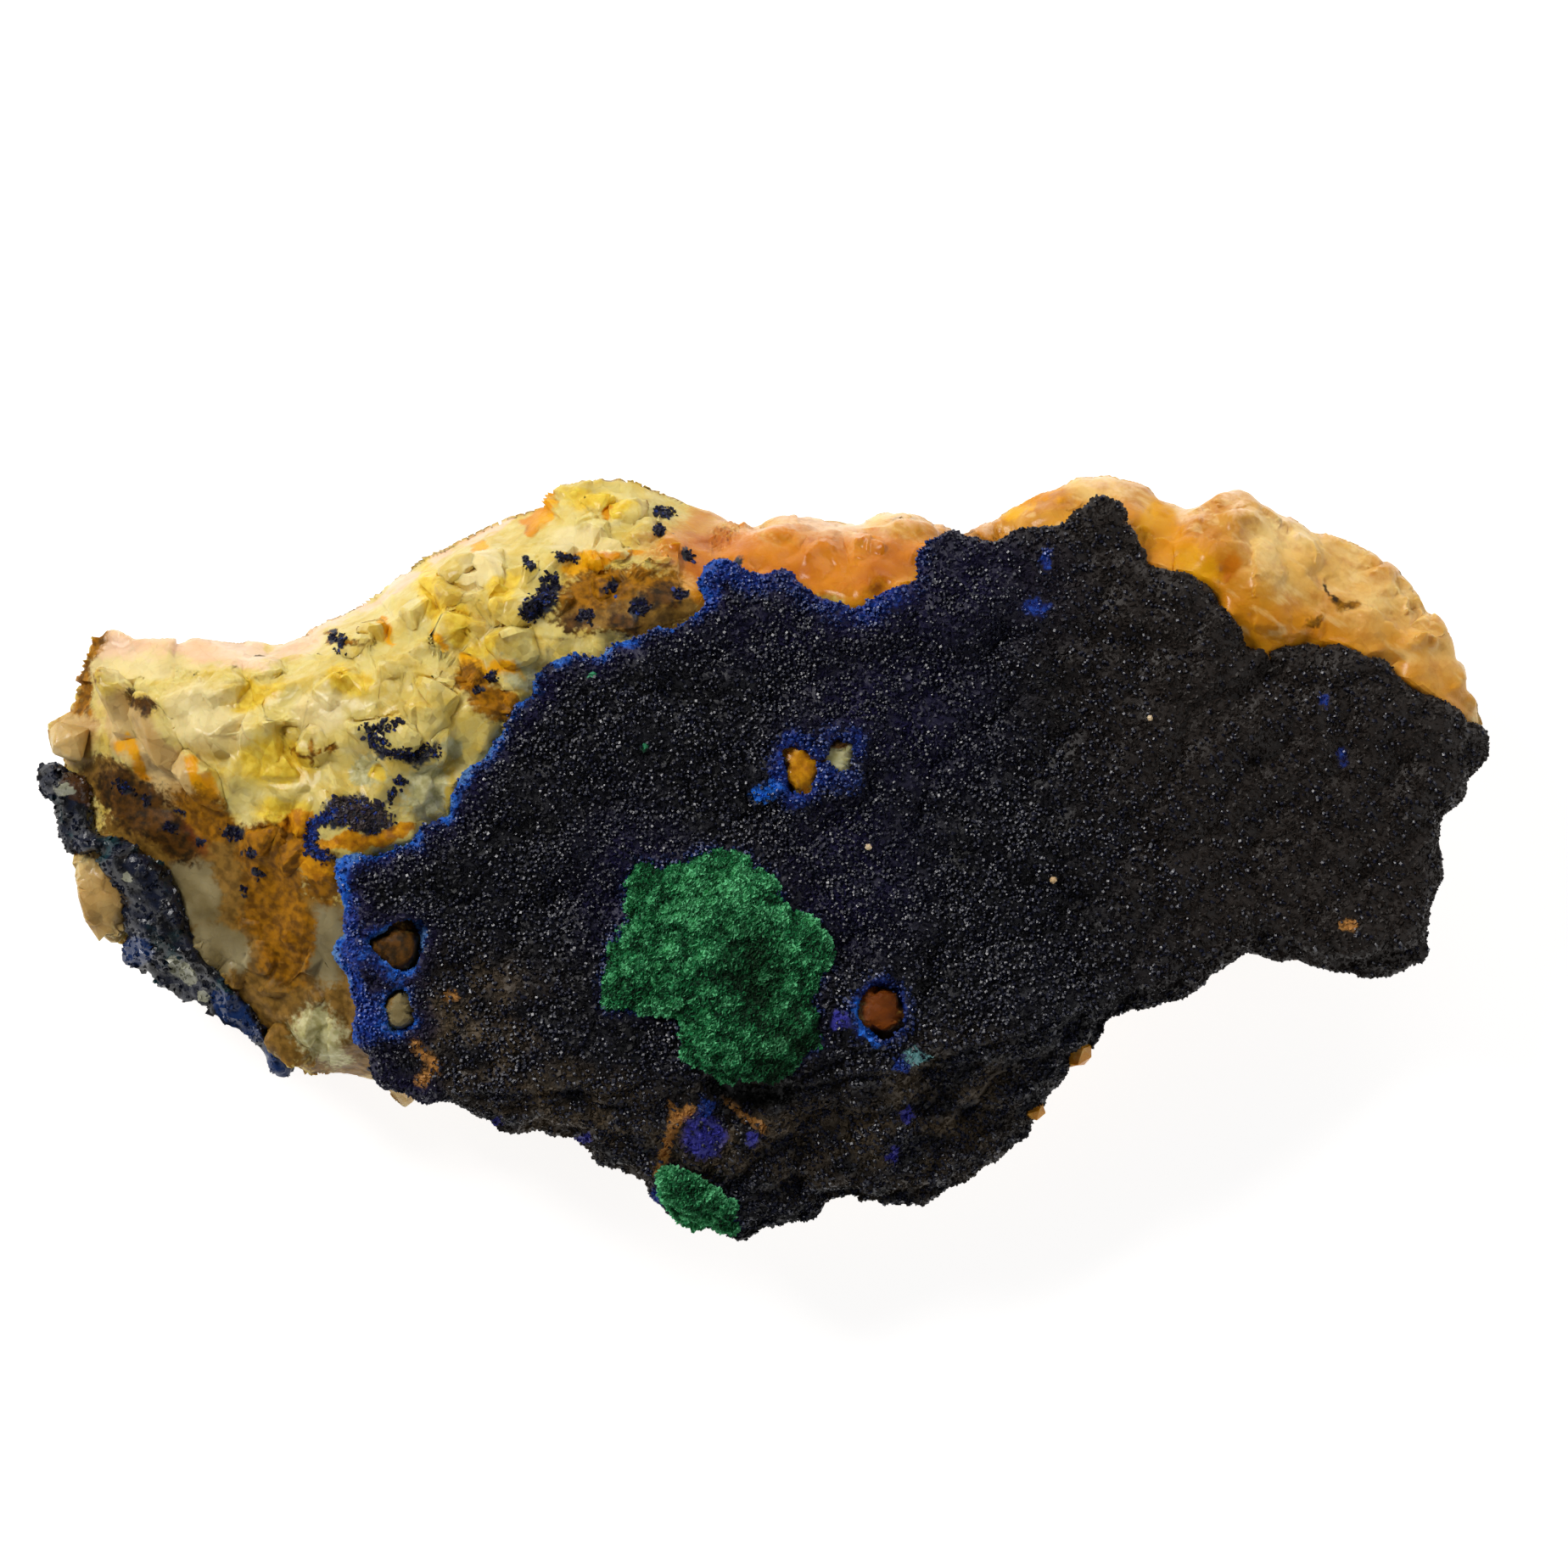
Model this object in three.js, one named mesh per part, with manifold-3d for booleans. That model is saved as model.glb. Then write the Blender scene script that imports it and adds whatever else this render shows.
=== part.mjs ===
// Azurite and malachite specimen, in millimetres, +Z up.
// A broken slab of quartz rock lies on its back. A crust of fine azurite crystals covers most of
// its upper face and wraps over the lower and right edges. Malachite grows on the crust in two
// patches, and a narrow seam of dark azurite follows the lower left edge.
// +X runs along the specimen, +Y across it. The origin is under its middle, on the ground.

import * as THREE from "three";
import { ConvexGeometry } from "three/addons/geometries/ConvexGeometry.js";
import { mergeVertices } from "three/addons/utils/BufferGeometryUtils.js";
import Module from "manifold-3d";

const wasm = await Module();
wasm.setup();

// Driving dimensions
const FACE_LEVEL = 20; // the crust's face over the ground, mid specimen
const RIGHT_FALL = 4.5; // how much lower the face is at the right tip
const LEFT_FALL = 1.5; // how much lower it is at the left end of the crust
const LEDGE = { level: -14.6, slope: 0.16 }; // the line along which the face turns down into the flank
const FLANK_DROP = 6; // the lower flank falls this far below the face
const FLANK_RUN = 9; // over this distance
const CRUST_THICKNESS = 1.9;
const CRUST_OVERHANG = 3.2; // how far the crust wraps down at the outer edge
const WRAP_REACH = 2.6; // how far in from the outer edge that rounding starts
const ROCK_INSET = 1.2; // how far the rock stays inside the crust at the lower edge
const CLEARANCE = 0.3; // gap kept between minerals that touch
const EDGE_STEP = 0.9; // how far the crust's free edge stands over the rock beside it
const RIM_LEVEL = 8.5; // where the slab is widest, over the ground
const RIGHT_RIM_RISE = 3; // how much higher that is at the right end
const RIM_BELOW_FACE = 4.5; // the rim stays at least this far under the face
const ROUNDING = 3.2; // reach of the rock's rounded outer edge
const OUTLINE_STEP = 1.2; // spacing of the points along an outline
const OUTLINE_ROUGHNESS = 0.22; // how far broken edges stray from a smooth outline
const KNOB_EDGE = 0.8; // reach of a knob's top within its window
const MALACHITE_RISE = 1.7; // how far the large patch stands over the crust
const LOWER_MALACHITE_RISE = 2.2; // and the small one
const SEAM_RISE = 1.3; // how far the seam stands over the rock

// Spacing of the surfaces' points
const CRUST_SPACING = 1.52;
const ROCK_SPACING = 1.5;
const BURIED_SPACING = 3.1; // on the rock under the crust
const UNDERSIDE_SPACING = 2.7;
const HIDDEN_SPACING = 4; // on undersides that lie against the rock
const RING_POINTS = 13; // on each ring of points round a window
const RING_GAP = 0.4; // least distance between those points

// Relief, as layers of noise: each one's rise, size across and seed
const FACE_SWELL = [{ rise: 0.8, across: 13, seed: 3 }];
const CRUST_LUMPS = [{ rise: 0.6, across: 4.4, seed: 57 }, { rise: 0.42, across: 2.2, seed: 58 }];
const WAXY_LUMPS = [{ rise: 0.6, across: 4.6, seed: 9 }, { rise: 0.3, across: 2.2, seed: 5 }];
const BROKEN_LUMPS = [{ rise: 0.5, across: 6.5, seed: 5 }];
const BROKEN_FACETS = { rise: 0.95, across: 2.9, seed: 15 };
const RIM_SWELL = [{ rise: 1.8, across: 11, seed: 21 }];
const ROUNDING_SWELL = [{ rise: 1, across: 8, seed: 33 }];
const UNDERSIDE_LUMPS = [{ rise: 0.9, across: 4, seed: 43 }];
const UNDERSIDE_FACETS = { rise: 1.9, across: 7, seed: 41 };
const MALACHITE_LUMPS = [{ rise: 0.4, across: 1.9, seed: 71 }];
const SEAM_LUMPS = [{ rise: 0.4, across: 2.4, seed: 91 }];

// Outlines, as a person would draw them from above. Each is a closed curve through its points.
const UPPER_EDGE = [
  [-24.5, -16.9], [-27, -15.3], [-29.6, -15], [-32.2, -14.2], [-34.9, -11.3], [-37.4, -10.1],
  [-39.9, -9], [-42.4, -7.2], [-44.3, -6.1], [-45.9, -4.9], [-46.8, -3.4], [-47, -1.5], [-47.2, 0.8],
  [-47.3, 2.6], [-48.6, 4.7], [-48.3, 6.6], [-49.4, 9.1], [-47.7, 9.9], [-46.9, 11.9], [-46.8, 13.9],
  [-45.3, 15.4], [-41.9, 15], [-36.5, 14.7], [-32.8, 14.5], [-31.4, 15.5], [-26.7, 17.8],
  [-23.8, 20], [-20.8, 21.9], [-15.5, 24.2], [-14.2, 25.4], [-11.5, 25.9], [-8.5, 25.2],
  [-5.6, 24.2], [-0.7, 22.7], [2, 23.3], [6.5, 23], [9, 23.6], [11.7, 22.6], [14.1, 21.9],
  [16.3, 23.3], [18, 24.5], [20.7, 25.3], [23, 26.3], [26.3, 25.3], [29, 23.7], [30.9, 24.8],
  [32.9, 25.2], [34, 24.4], [38.1, 22.4], [41.1, 21.3], [43.3, 19.9], [44.8, 18.3], [46.5, 16.6],
  [47.8, 14.4], [48, 12.6], [49.2, 9.5],
];
const LOWER_EDGE = [
  [50, 7.1], [49, 5.6], [47.7, 3.6], [46.6, 2.4], [46.7, -0.4], [45.9, -2.6], [45.7, -4.6],
  [45, -6.7], [43.3, -7.9], [41.1, -8.2], [36.2, -7.1], [33.2, -6.7], [30.8, -8.4], [28.5, -10],
  [23.9, -11.2], [22.6, -12.7], [20.6, -14.6], [19.3, -17], [18, -19.3], [14.8, -21.8],
  [12.4, -23.3], [10.1, -23.9], [5, -23.7], [2.4, -25.2], [0.2, -25.1], [-1.8, -26.3],
  [-5.1, -25.5], [-6.6, -24.4], [-8, -23.1], [-10, -21.7], [-12.7, -19.7], [-14.4, -19.1],
  [-17.8, -18.9], [-20.5, -17.4], [-23, -16.8],
];
const CRUST_FREE_EDGE = [
  [-25, -15.8], [-26.4, -15], [-27, -13.6], [-28.1, -12.6], [-27.7, -10.8], [-28.4, -7.7],
  [-29.1, -5.9], [-28.5, -3.3], [-29.8, -1.2], [-29.2, 0.1], [-25.7, 0.5], [-23.5, 2.1],
  [-21.6, 3.6], [-20.8, 5.3], [-19.8, 7], [-18.6, 9.7], [-15.7, 11.7], [-14.6, 13.5], [-11.7, 14.7],
  [-9.7, 15.1], [-7.6, 16.2], [-5.2, 16.9], [-4.2, 19.3], [-2.6, 20.4], [-0.7, 19.4], [0.2, 18.8],
  [1.3, 19.5], [2.4, 18.3], [6.5, 17.2], [8.9, 18.3], [10.9, 18.9], [11.1, 20.4], [11.7, 22.4],
  [14.6, 21.5], [16.5, 22.4], [20, 23.4], [23.6, 24.3], [24.5, 23], [26.8, 20.7], [30.3, 18.7],
  [32.4, 16.6], [34.7, 14.3], [38.1, 14.7], [42.6, 14.1], [44, 12.7], [47.5, 9.9], [49.3, 8.2],
];
const MALACHITE_OUTLINE = [
  [-8.3, -0.1], [-9.6, -1.2], [-9.5, -3.7], [-10.6, -6.2], [-10.7, -7.7], [-11.6, -9.4],
  [-10.8, -10.7], [-7.8, -10.9], [-5.9, -11.2], [-6.1, -13.2], [-4.6, -14.5], [-2.4, -15.5],
  [-0.4, -15.8], [2.3, -14.6], [4, -13.1], [3.9, -11.3], [3.4, -9], [4.7, -7.2], [4.8, -6],
  [3.4, -4.2], [1.1, -3.2], [0.9, -1.8], [-0.7, 0.2], [-2.4, 0.6], [-4.1, 0.5], [-6, -0.3],
];
const LOWER_MALACHITE_OUTLINE = [
  [-7.8, -22.3], [-6.6, -21.7], [-4.8, -21.8], [-3.4, -22.8], [-1.7, -24.2], [-1.1, -25.4],
  [-1.9, -26.4], [-3.5, -26.1], [-5.1, -25.8], [-6.9, -24.8], [-8, -23.5],
];
const SEAM_OUTLINE = [
  [-49.9, 4.9], [-49.9, 6.1], [-48.4, 6.3], [-46.6, 5.2], [-45.6, 2], [-42.5, 0.6], [-41.2, -1.8],
  [-40.3, -4.2], [-38.1, -7.2], [-36.1, -8.4], [-34.6, -11.1], [-32.4, -14.2], [-33.4, -15.1],
  [-35.8, -12.5], [-38.3, -11.3], [-40.8, -10.3], [-43.3, -8.3], [-44.2, -6], [-44.4, -4],
  [-45.3, -1.9], [-46.6, -0.3], [-48.4, 1.1], [-48.5, 2.8],
];
const FOOT_OUTLINE = [
  [-31, 0], [-27, -6], [-18, -8], [-10, -13], [2, -15], [10, -12], [15, -5], [24, -2], [33, 1],
  [35, 8], [28, 13], [17, 15], [9, 11], [0, 12], [-8, 15], [-17, 12], [-25, 8],
];

// Fracture faces of the rock beside the crust: a point on each, the compass angle it falls to,
// and how far it falls for each millimetre.
const FRACTURES = [
  { at: [-29, -3, 17.8], falls: 212, slope: 0.62 }, // brown and grey face, lower left
  { at: [-41, 9, 14.6], falls: 168, slope: 0.75 }, // left end
  { at: [-24, 13, 17.6], falls: 116, slope: 0.42 }, // yellow quartz, upper left
  { at: [0, 19.2, 17.2], falls: 90, slope: 1.05 }, // orange wall, upper middle
  { at: [31, 20, 15.4], falls: 58, slope: 0.62 }, // amber lumps, upper right
];

// Windows in the crust, through which a knob of rock shows: place, radii, how strongly and at what
// angle it has three corners, how far the lip stands over the face, and how far the rock inside does.
const WINDOWS = [
  { at: [2.5, 6.1], radii: [1.2, 1.55], corners: 0.12, turn: 100, lip: 1.1, sill: 0.2 },
  { at: [5.6, 6.9], radii: [1, 1.35], corners: 0.1, turn: 20, lip: 1, sill: 0.3 },
  { at: [8, -10.6], radii: [1.3, 1.6], corners: 0.08, turn: 60, lip: 1.1, sill: -0.3 },
  { at: [-25.4, -6.3], radii: [1.6, 1.35], corners: 0.28, turn: 50, lip: 0.7, sill: -0.7 },
  { at: [-25.2, -10.6], radii: [0.8, 1.4], corners: 0.12, turn: 90, lip: 0.7, sill: -0.7 },
];
// Mounds and hollows of the crust: place, reach and rise.
const CRUST_BUMPS = [
  { at: [10.4, -14], reach: 1.6, rise: 0.8 },
  { at: [17.5, -12.2], reach: 4, rise: 1.3 },
  { at: [14.5, 16.5], reach: 2.8, rise: 1 },
  { at: [19.5, 16.2], reach: 2.6, rise: 1 },
  { at: [-5.5, -18.7], reach: 2, rise: 0.9 },
  { at: [-12, -15.5], reach: 3.5, rise: 0.7 },
  { at: [-12, 6], reach: 5, rise: 0.5 },
  { at: [26, 4], reach: 6, rise: 0.7 },
  { at: [-1.8, -16.9], reach: 2.2, rise: -1.8 },
  { at: [-19, -6.5], reach: 3.2, rise: -1 },
  { at: [12.5, -15.8], reach: 2.6, rise: -1 },
  { at: [3, -20], reach: 3.4, rise: -1.1 },
  { at: [18.5, -5.5], reach: 4, rise: -0.7 },
  { at: [12, 11], reach: 4, rise: -0.6 },
];
// Lumps of the rock beside the crust: place, reach and rise.
const ROCK_BUMPS = [
  { at: [-28, 2.4], reach: 3.2, rise: 0.9 },
  { at: [-26, 10], reach: 8, rise: 1.3 },
  { at: [33, 19.5], reach: 5, rise: 1.6 },
  { at: [41.5, 17], reach: 4.5, rise: 1.3 },
  { at: [25.5, 23.5], reach: 3.2, rise: 1 },
  { at: [46.3, 13], reach: 3, rise: 0.9 },
];
// The dimple in the large malachite patch.
const MALACHITE_BUMPS = [{ at: [-0.5, -8.8], reach: 2.2, rise: -0.9 }];

// Crystals that stand out of the rock: place, size and turn.
const CRYSTALS = [
  { at: [-47.9, 7.9, 10.6], size: [2.9, 3.2, 3], turn: 20 },
  { at: [-41.6, 8.2, 14.6], size: [2.8, 8.4, 2.6], turn: 30 },
  { at: [-44.6, 10.8, 12.8], size: [2.4, 7.4, 2.8], turn: 24 },
  { at: [-39, 5.4, 15.6], size: [2.8, 5.6, 2.6], turn: 42 },
  { at: [-23.7, 5.1, 18.5], size: [3.5, 5.4, 2.6], turn: -15 },
  { at: [-45.7, -3, 9.4], size: [2.4, 6, 4], turn: 8 },
  { at: [-37.2, 11.4, 15.2], size: [4, 3, 2.6], turn: 15 },
  { at: [-32.5, -13, 11.4], size: [4.6, 2.6, 2.6], turn: -35 },
];
// Regions of the rock where quartz grains stand out: centre, reach and grain size.
const GRAIN_REGIONS = [
  { at: [-30, 7.5], reach: 9, grain: 2.7 },
  { at: [-25.5, 14], reach: 7, grain: 2.4 },
  { at: [-16, 19], reach: 6.5, grain: 2.3 },
  { at: [-9, 22], reach: 4, grain: 1.9 },
  { at: [-33, -8.5], reach: 5, grain: 2 },
  { at: [36.5, 19.5], reach: 7, grain: 2.6 },
  { at: [44, 16], reach: 4, grain: 2 },
  { at: [4, 21.5], reach: 7, grain: 2 },
];

/** Repeatable random numbers from 0 to 1. */
function randomSource(seed) {
  let state = seed >>> 0;
  return () => {
    state = (state + 0x6d2b79f5) >>> 0;
    let t = Math.imul(state ^ (state >>> 15), 1 | state);
    t = (t + Math.imul(t ^ (t >>> 7), 61 | t)) ^ t;
    return ((t ^ (t >>> 14)) >>> 0) / 4294967296;
  };
}

/** Eases from 0 to 1 as t does, and stays at the ends. */
function ease(t) {
  const u = Math.min(1, Math.max(0, t));
  return u * u * (3 - 2 * u);
}

/** Smooth noise over the plane, from -1 to 1, with lumps of about the given size. */
function noise(x, y, size, seed) {
  const u = x / size;
  const v = y / size;
  const column = Math.floor(u);
  const row = Math.floor(v);
  const corner = (i, j) => {
    const mixed = Math.sin((column + i) * 127.1 + (row + j) * 311.7 + seed * 74.7) * 43758.5453;
    return 2 * (mixed - Math.floor(mixed)) - 1;
  };
  const across = ease(u - column);
  const low = THREE.MathUtils.lerp(corner(0, 0), corner(1, 0), across);
  const high = THREE.MathUtils.lerp(corner(0, 1), corner(1, 1), across);
  return THREE.MathUtils.lerp(low, high, ease(v - row));
}

/** Sum of layers of smooth noise at a point. */
function lumps(layers, x, y) {
  return layers.reduce((sum, { rise, across, seed }) => sum + rise * noise(x, y, across, seed), 0);
}

/** Sum of round rises and hollows at a point. */
function bumps(list, x, y) {
  return list.reduce((sum, { at, reach, rise }) => {
    const reached = Math.hypot(x - at[0], y - at[1]) / reach;
    return sum + rise * ease(1.15 - reached);
  }, 0);
}

/** Height of tilted flat facets, like broken crystal faces, at a point. */
function facets({ rise, across, seed }, x, y) {
  const column = Math.floor(x / across);
  const row = Math.floor(y / across);
  let nearest = Infinity;
  let height = 0;
  for (let i = column - 1; i <= column + 1; i += 1) {
    for (let j = row - 1; j <= row + 1; j += 1) {
      const random = randomSource(seed + 7919 * i + 104729 * j);
      const fromX = x - (i + random()) * across;
      const fromY = y - (j + random()) * across;
      const distance = Math.hypot(fromX, fromY);
      if (distance > nearest) continue;
      nearest = distance;
      const lift = 0.16 * across * (2 * random() - 1);
      height = lift + fromX * (random() - 0.5) + fromY * (random() - 0.5);
    }
  }
  return rise * height;
}

/** Points at even steps along the closed curve through the given ones, slightly roughened. */
function closedCurve(points, step = OUTLINE_STEP) {
  const through = points.map(([x, y]) => new THREE.Vector3(x, y, 0));
  const curve = new THREE.CatmullRomCurve3(through, true, "centripetal");
  const count = Math.round(curve.getLength() / step);
  const stray = (p, seed) => OUTLINE_ROUGHNESS * noise(p.x, p.y, 0.9, seed);
  return curve.getSpacedPoints(count).slice(0, count).map((p) => [p.x + stray(p, 61), p.y + stray(p, 62)]);
}

/** Distance from a point to the nearest side of an outline. */
function edgeDistance(outline, x, y) {
  let nearest = Infinity;
  outline.forEach(([ax, ay], i) => {
    const [bx, by] = outline[(i + 1) % outline.length];
    const dx = bx - ax;
    const dy = by - ay;
    const share = ((x - ax) * dx + (y - ay) * dy) / (dx * dx + dy * dy);
    const t = Math.min(1, Math.max(0, share));
    nearest = Math.min(nearest, Math.hypot(x - ax - t * dx, y - ay - t * dy));
  });
  return nearest;
}

/** True where a point lies inside an outline. */
function isInside(outline, x, y) {
  let inside = false;
  outline.forEach(([ax, ay], i) => {
    const [bx, by] = outline[(i + 1) % outline.length];
    if (ay > y !== by > y && x < ((bx - ax) * (y - ay)) / (by - ay) + ax) inside = !inside;
  });
  return inside;
}

/** Distance inside an outline, negative outside it. */
function depthInside(outline, x, y) {
  const distance = edgeDistance(outline, x, y);
  return isInside(outline, x, y) ? distance : -distance;
}

/** Scattered points inside an outline, with no two nearer than spacing(x, y). */
function scatter(outline, spacing, seed, placed = []) {
  const random = randomSource(seed);
  const xs = outline.map((p) => p[0]);
  const ys = outline.map((p) => p[1]);
  const [left, right] = [Math.min(...xs), Math.max(...xs)];
  const [low, high] = [Math.min(...ys), Math.max(...ys)];
  const kept = [...placed];
  const tries = Math.round((right - left) * (high - low) * 9);
  for (let i = 0; i < tries; i += 1) {
    const x = left + (right - left) * random();
    const y = low + (high - low) * random();
    const gap = spacing(x, y);
    const fromEdge = Math.max(0.62 * OUTLINE_STEP, 0.5 * gap);
    const clear = kept.every(([px, py]) => Math.hypot(px - x, py - y) > gap);
    if (clear && depthInside(outline, x, y) > fromEdge) kept.push([x, y]);
  }
  return kept;
}

/** Delaunay triangles of points in the plane, counter-clockwise, as index triples. */
function delaunay(points) {
  const far = 1e4;
  const all = [...points, [-far, -far], [far, -far], [0, far]];
  const count = points.length;
  const circled = (a, b, c) => {
    const [ax, ay] = all[a];
    const [bx, by] = [all[b][0] - ax, all[b][1] - ay];
    const [cx, cy] = [all[c][0] - ax, all[c][1] - ay];
    const twice = 2 * (bx * cy - by * cx);
    const ux = (cy * (bx * bx + by * by) - by * (cx * cx + cy * cy)) / twice;
    const uy = (bx * (cx * cx + cy * cy) - cx * (bx * bx + by * by)) / twice;
    return { corners: [a, b, c], x: ax + ux, y: ay + uy, reach: ux * ux + uy * uy };
  };
  let triangles = [circled(count, count + 1, count + 2)];
  points.forEach(([x, y], p) => {
    const open = new Map();
    const kept = [];
    for (const t of triangles) {
      if ((x - t.x) ** 2 + (y - t.y) ** 2 >= t.reach) {
        kept.push(t);
        continue;
      }
      t.corners.forEach((a, i) => {
        const b = t.corners[(i + 1) % 3];
        if (!open.delete(`${b},${a}`)) open.set(`${a},${b}`, [a, b]);
      });
    }
    triangles = [...kept, ...[...open.values()].map(([a, b]) => circled(a, b, p))];
  });
  return triangles.map((t) => t.corners).filter((corners) => corners.every((c) => c < count));
}

/** A manifold-3d solid from a flat list of coordinates and index triples. */
function solidFrom(positions, triangles) {
  const mesh = new wasm.Mesh({
    numProp: 3,
    vertProperties: new Float32Array(positions),
    triVerts: new Uint32Array(triangles),
  });
  return new wasm.Manifold(mesh);
}

/** A manifold-3d solid from a closed three.js geometry. */
function solidOf(geometry) {
  const bare = geometry.clone();
  bare.deleteAttribute("normal");
  bare.deleteAttribute("uv");
  const merged = mergeVertices(bare, 1e-4);
  return solidFrom(merged.attributes.position.array, merged.index.array);
}

/** A closed solid between an upper and a lower surface that meet along one outline. */
function slab({ outline, rim, upper, upperPoints, lower, lowerPoints }) {
  const positions = outline.flatMap(([x, y]) => [x, y, rim(x, y)]);
  const triangles = [];
  const cover = (inner, height, facesUp) => {
    const first = positions.length / 3 - outline.length;
    inner.forEach(([x, y]) => positions.push(x, y, height(x, y)));
    const flat = [...outline, ...inner];
    const index = (i) => (i < outline.length ? i : i + first);
    for (const [a, b, c] of delaunay(flat)) {
      const x = (flat[a][0] + flat[b][0] + flat[c][0]) / 3;
      const y = (flat[a][1] + flat[b][1] + flat[c][1]) / 3;
      if (!isInside(outline, x, y)) continue;
      triangles.push(index(a), index(facesUp ? b : c), index(facesUp ? c : b));
    }
  };
  cover(upperPoints, upper, true);
  cover(lowerPoints, lower, false);
  return solidFrom(positions, triangles);
}

/** The three.js geometry of a manifold-3d solid. */
function geometryOf(solid) {
  const { vertProperties, numProp, numVert, triVerts } = solid.getMesh();
  const positions = [];
  for (let i = 0; i < numVert; i += 1) {
    positions.push(...vertProperties.slice(i * numProp, i * numProp + 3));
  }
  const geometry = new THREE.BufferGeometry();
  geometry.setAttribute("position", new THREE.Float32BufferAttribute(positions, 3));
  geometry.setIndex([...triVerts]);
  geometry.computeVertexNormals();
  return geometry;
}

/** The same solid grown outwards by the clearance, to cut what lies on it. */
function withClearance(solid) {
  const { attributes, index } = geometryOf(solid);
  const normals = attributes.normal.array;
  return solidFrom(attributes.position.array.map((p, i) => p + CLEARANCE * normals[i]), index.array);
}

/** What is left of a solid in one piece once it clears what it lies on. */
function fittedOn(carriers, solid) {
  const left = carriers.reduce((rest, carrier) => rest.subtract(withClearance(carrier)), solid);
  return left.decompose().sort((a, b) => b.volume() - a.volume())[0];
}

/** An angular crystal: the convex hull of points scattered on an ellipsoid. */
function crystal(size, corners, random) {
  const points = [];
  for (let i = 0; i < corners; i += 1) {
    const height = 1 - (2 * (i + 0.5)) / corners;
    const turn = i * 2.4 + 0.9 * random();
    const reach = Math.sqrt(1 - height * height) * (0.8 + 0.35 * random());
    const point = [reach * Math.cos(turn), reach * Math.sin(turn), height];
    points.push(new THREE.Vector3(...point.map((c, axis) => (c * size[axis]) / 2)));
  }
  return new ConvexGeometry(points);
}

/** A circle as a closed outline. */
function circle([x, y], reach) {
  const turns = Array.from({ length: 8 }, (_, i) => (Math.PI * i) / 4);
  return closedCurve(turns.map((turn) => [x + reach * Math.cos(turn), y + reach * Math.sin(turn)]));
}

// Outlines as they are used. The rock's lower edge stays inside the crust that wraps it.
const rocksLowerEdge = LOWER_EDGE.slice(0, -1).map(([x, y]) => {
  const towardsTip = ease((x + 10) / 50);
  return [x - ROCK_INSET * towardsTip, y + ROCK_INSET * (1 - 0.4 * towardsTip)];
});
const crustOutline = closedCurve([...LOWER_EDGE, ...CRUST_FREE_EDGE]);
const specimenOutline = closedCurve([...LOWER_EDGE, ...UPPER_EDGE]);
const rockOutline = closedCurve([...rocksLowerEdge, [-23, -16.4], ...UPPER_EDGE]);
const footOutline = closedCurve(FOOT_OUTLINE, 3.4);

/** Height of the smooth face that the crust follows. */
function faceHeight(x, y) {
  const pastLedge = LEDGE.level + LEDGE.slope * x - y;
  const flank = FLANK_DROP * Math.min(1.4, Math.max(0, pastLedge / FLANK_RUN));
  const fall = RIGHT_FALL * ease((x - 6) / 46) + LEFT_FALL * ease((-10 - x) / 24);
  return FACE_LEVEL - fall - flank + lumps(FACE_SWELL, x, y) + bumps(CRUST_BUMPS, x, y);
}

/** Relief of the broken rock: crystal facets at the left, waxy lumps at the right. */
function rockRelief(x, y) {
  const crystalline = ease((-2 - x) / 8) * (0.45 + 0.55 * ease((y + 2) / 5));
  const broken = facets(BROKEN_FACETS, x, y) + lumps(BROKEN_LUMPS, x, y);
  return bumps(ROCK_BUMPS, x, y) + THREE.MathUtils.lerp(lumps(WAXY_LUMPS, x, y), broken, crystalline);
}

/** Height of the rock beside the crust, before its broken edge rounds it off. */
function fractureHeight(x, y) {
  const faces = FRACTURES.map(({ at, falls, slope }) => {
    const angle = THREE.MathUtils.degToRad(falls);
    const along = (x - at[0]) * Math.cos(angle) + (y - at[1]) * Math.sin(angle);
    return at[2] - slope * along;
  });
  return Math.min(faceHeight(x, y) - EDGE_STEP, ...faces) + rockRelief(x, y);
}

/** Height of the rock's rim, where its upper and lower surfaces meet. */
function rimHeight(x, y) {
  const level = RIM_LEVEL + RIGHT_RIM_RISE * ease((x - 15) / 30) + lumps(RIM_SWELL, x, y);
  return Math.min(level, faceHeight(x, y) - RIM_BELOW_FACE);
}

/** Height of the rock's upper surface. */
function rockHeight(x, y) {
  const buried = ease(depthInside(crustOutline, x, y) / 1.2);
  const seat = faceHeight(x, y) - CRUST_THICKNESS - CLEARANCE;
  const whole = THREE.MathUtils.lerp(fractureHeight(x, y), seat, buried);
  const reach = ROUNDING + lumps(ROUNDING_SWELL, x, y);
  const rounding = 1 - Math.min(1, edgeDistance(rockOutline, x, y) / reach);
  return THREE.MathUtils.lerp(whole, rimHeight(x, y), rounding ** 2.4);
}

/** How far a window's corners reach past its ellipse at an angle, as a factor. */
function cornerReach({ corners, turn }, angle) {
  return 1 + corners * Math.cos(3 * (angle - THREE.MathUtils.degToRad(turn)));
}

/** How far a point is from a window's middle, where 1 is the window's edge. */
function fromWindow(window, x, y) {
  const across = (x - window.at[0]) / window.radii[0];
  const up = (y - window.at[1]) / window.radii[1];
  return Math.hypot(across, up) / cornerReach(window, Math.atan2(up, across));
}

/** Height of the rock's upper surface with the knobs that fill the windows. */
function knobbedHeight(x, y) {
  const around = WINDOWS.find((w) => fromWindow(w, x, y) < KNOB_EDGE + 0.05);
  return around ? faceHeight(x, y) + around.sill : rockHeight(x, y);
}

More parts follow.
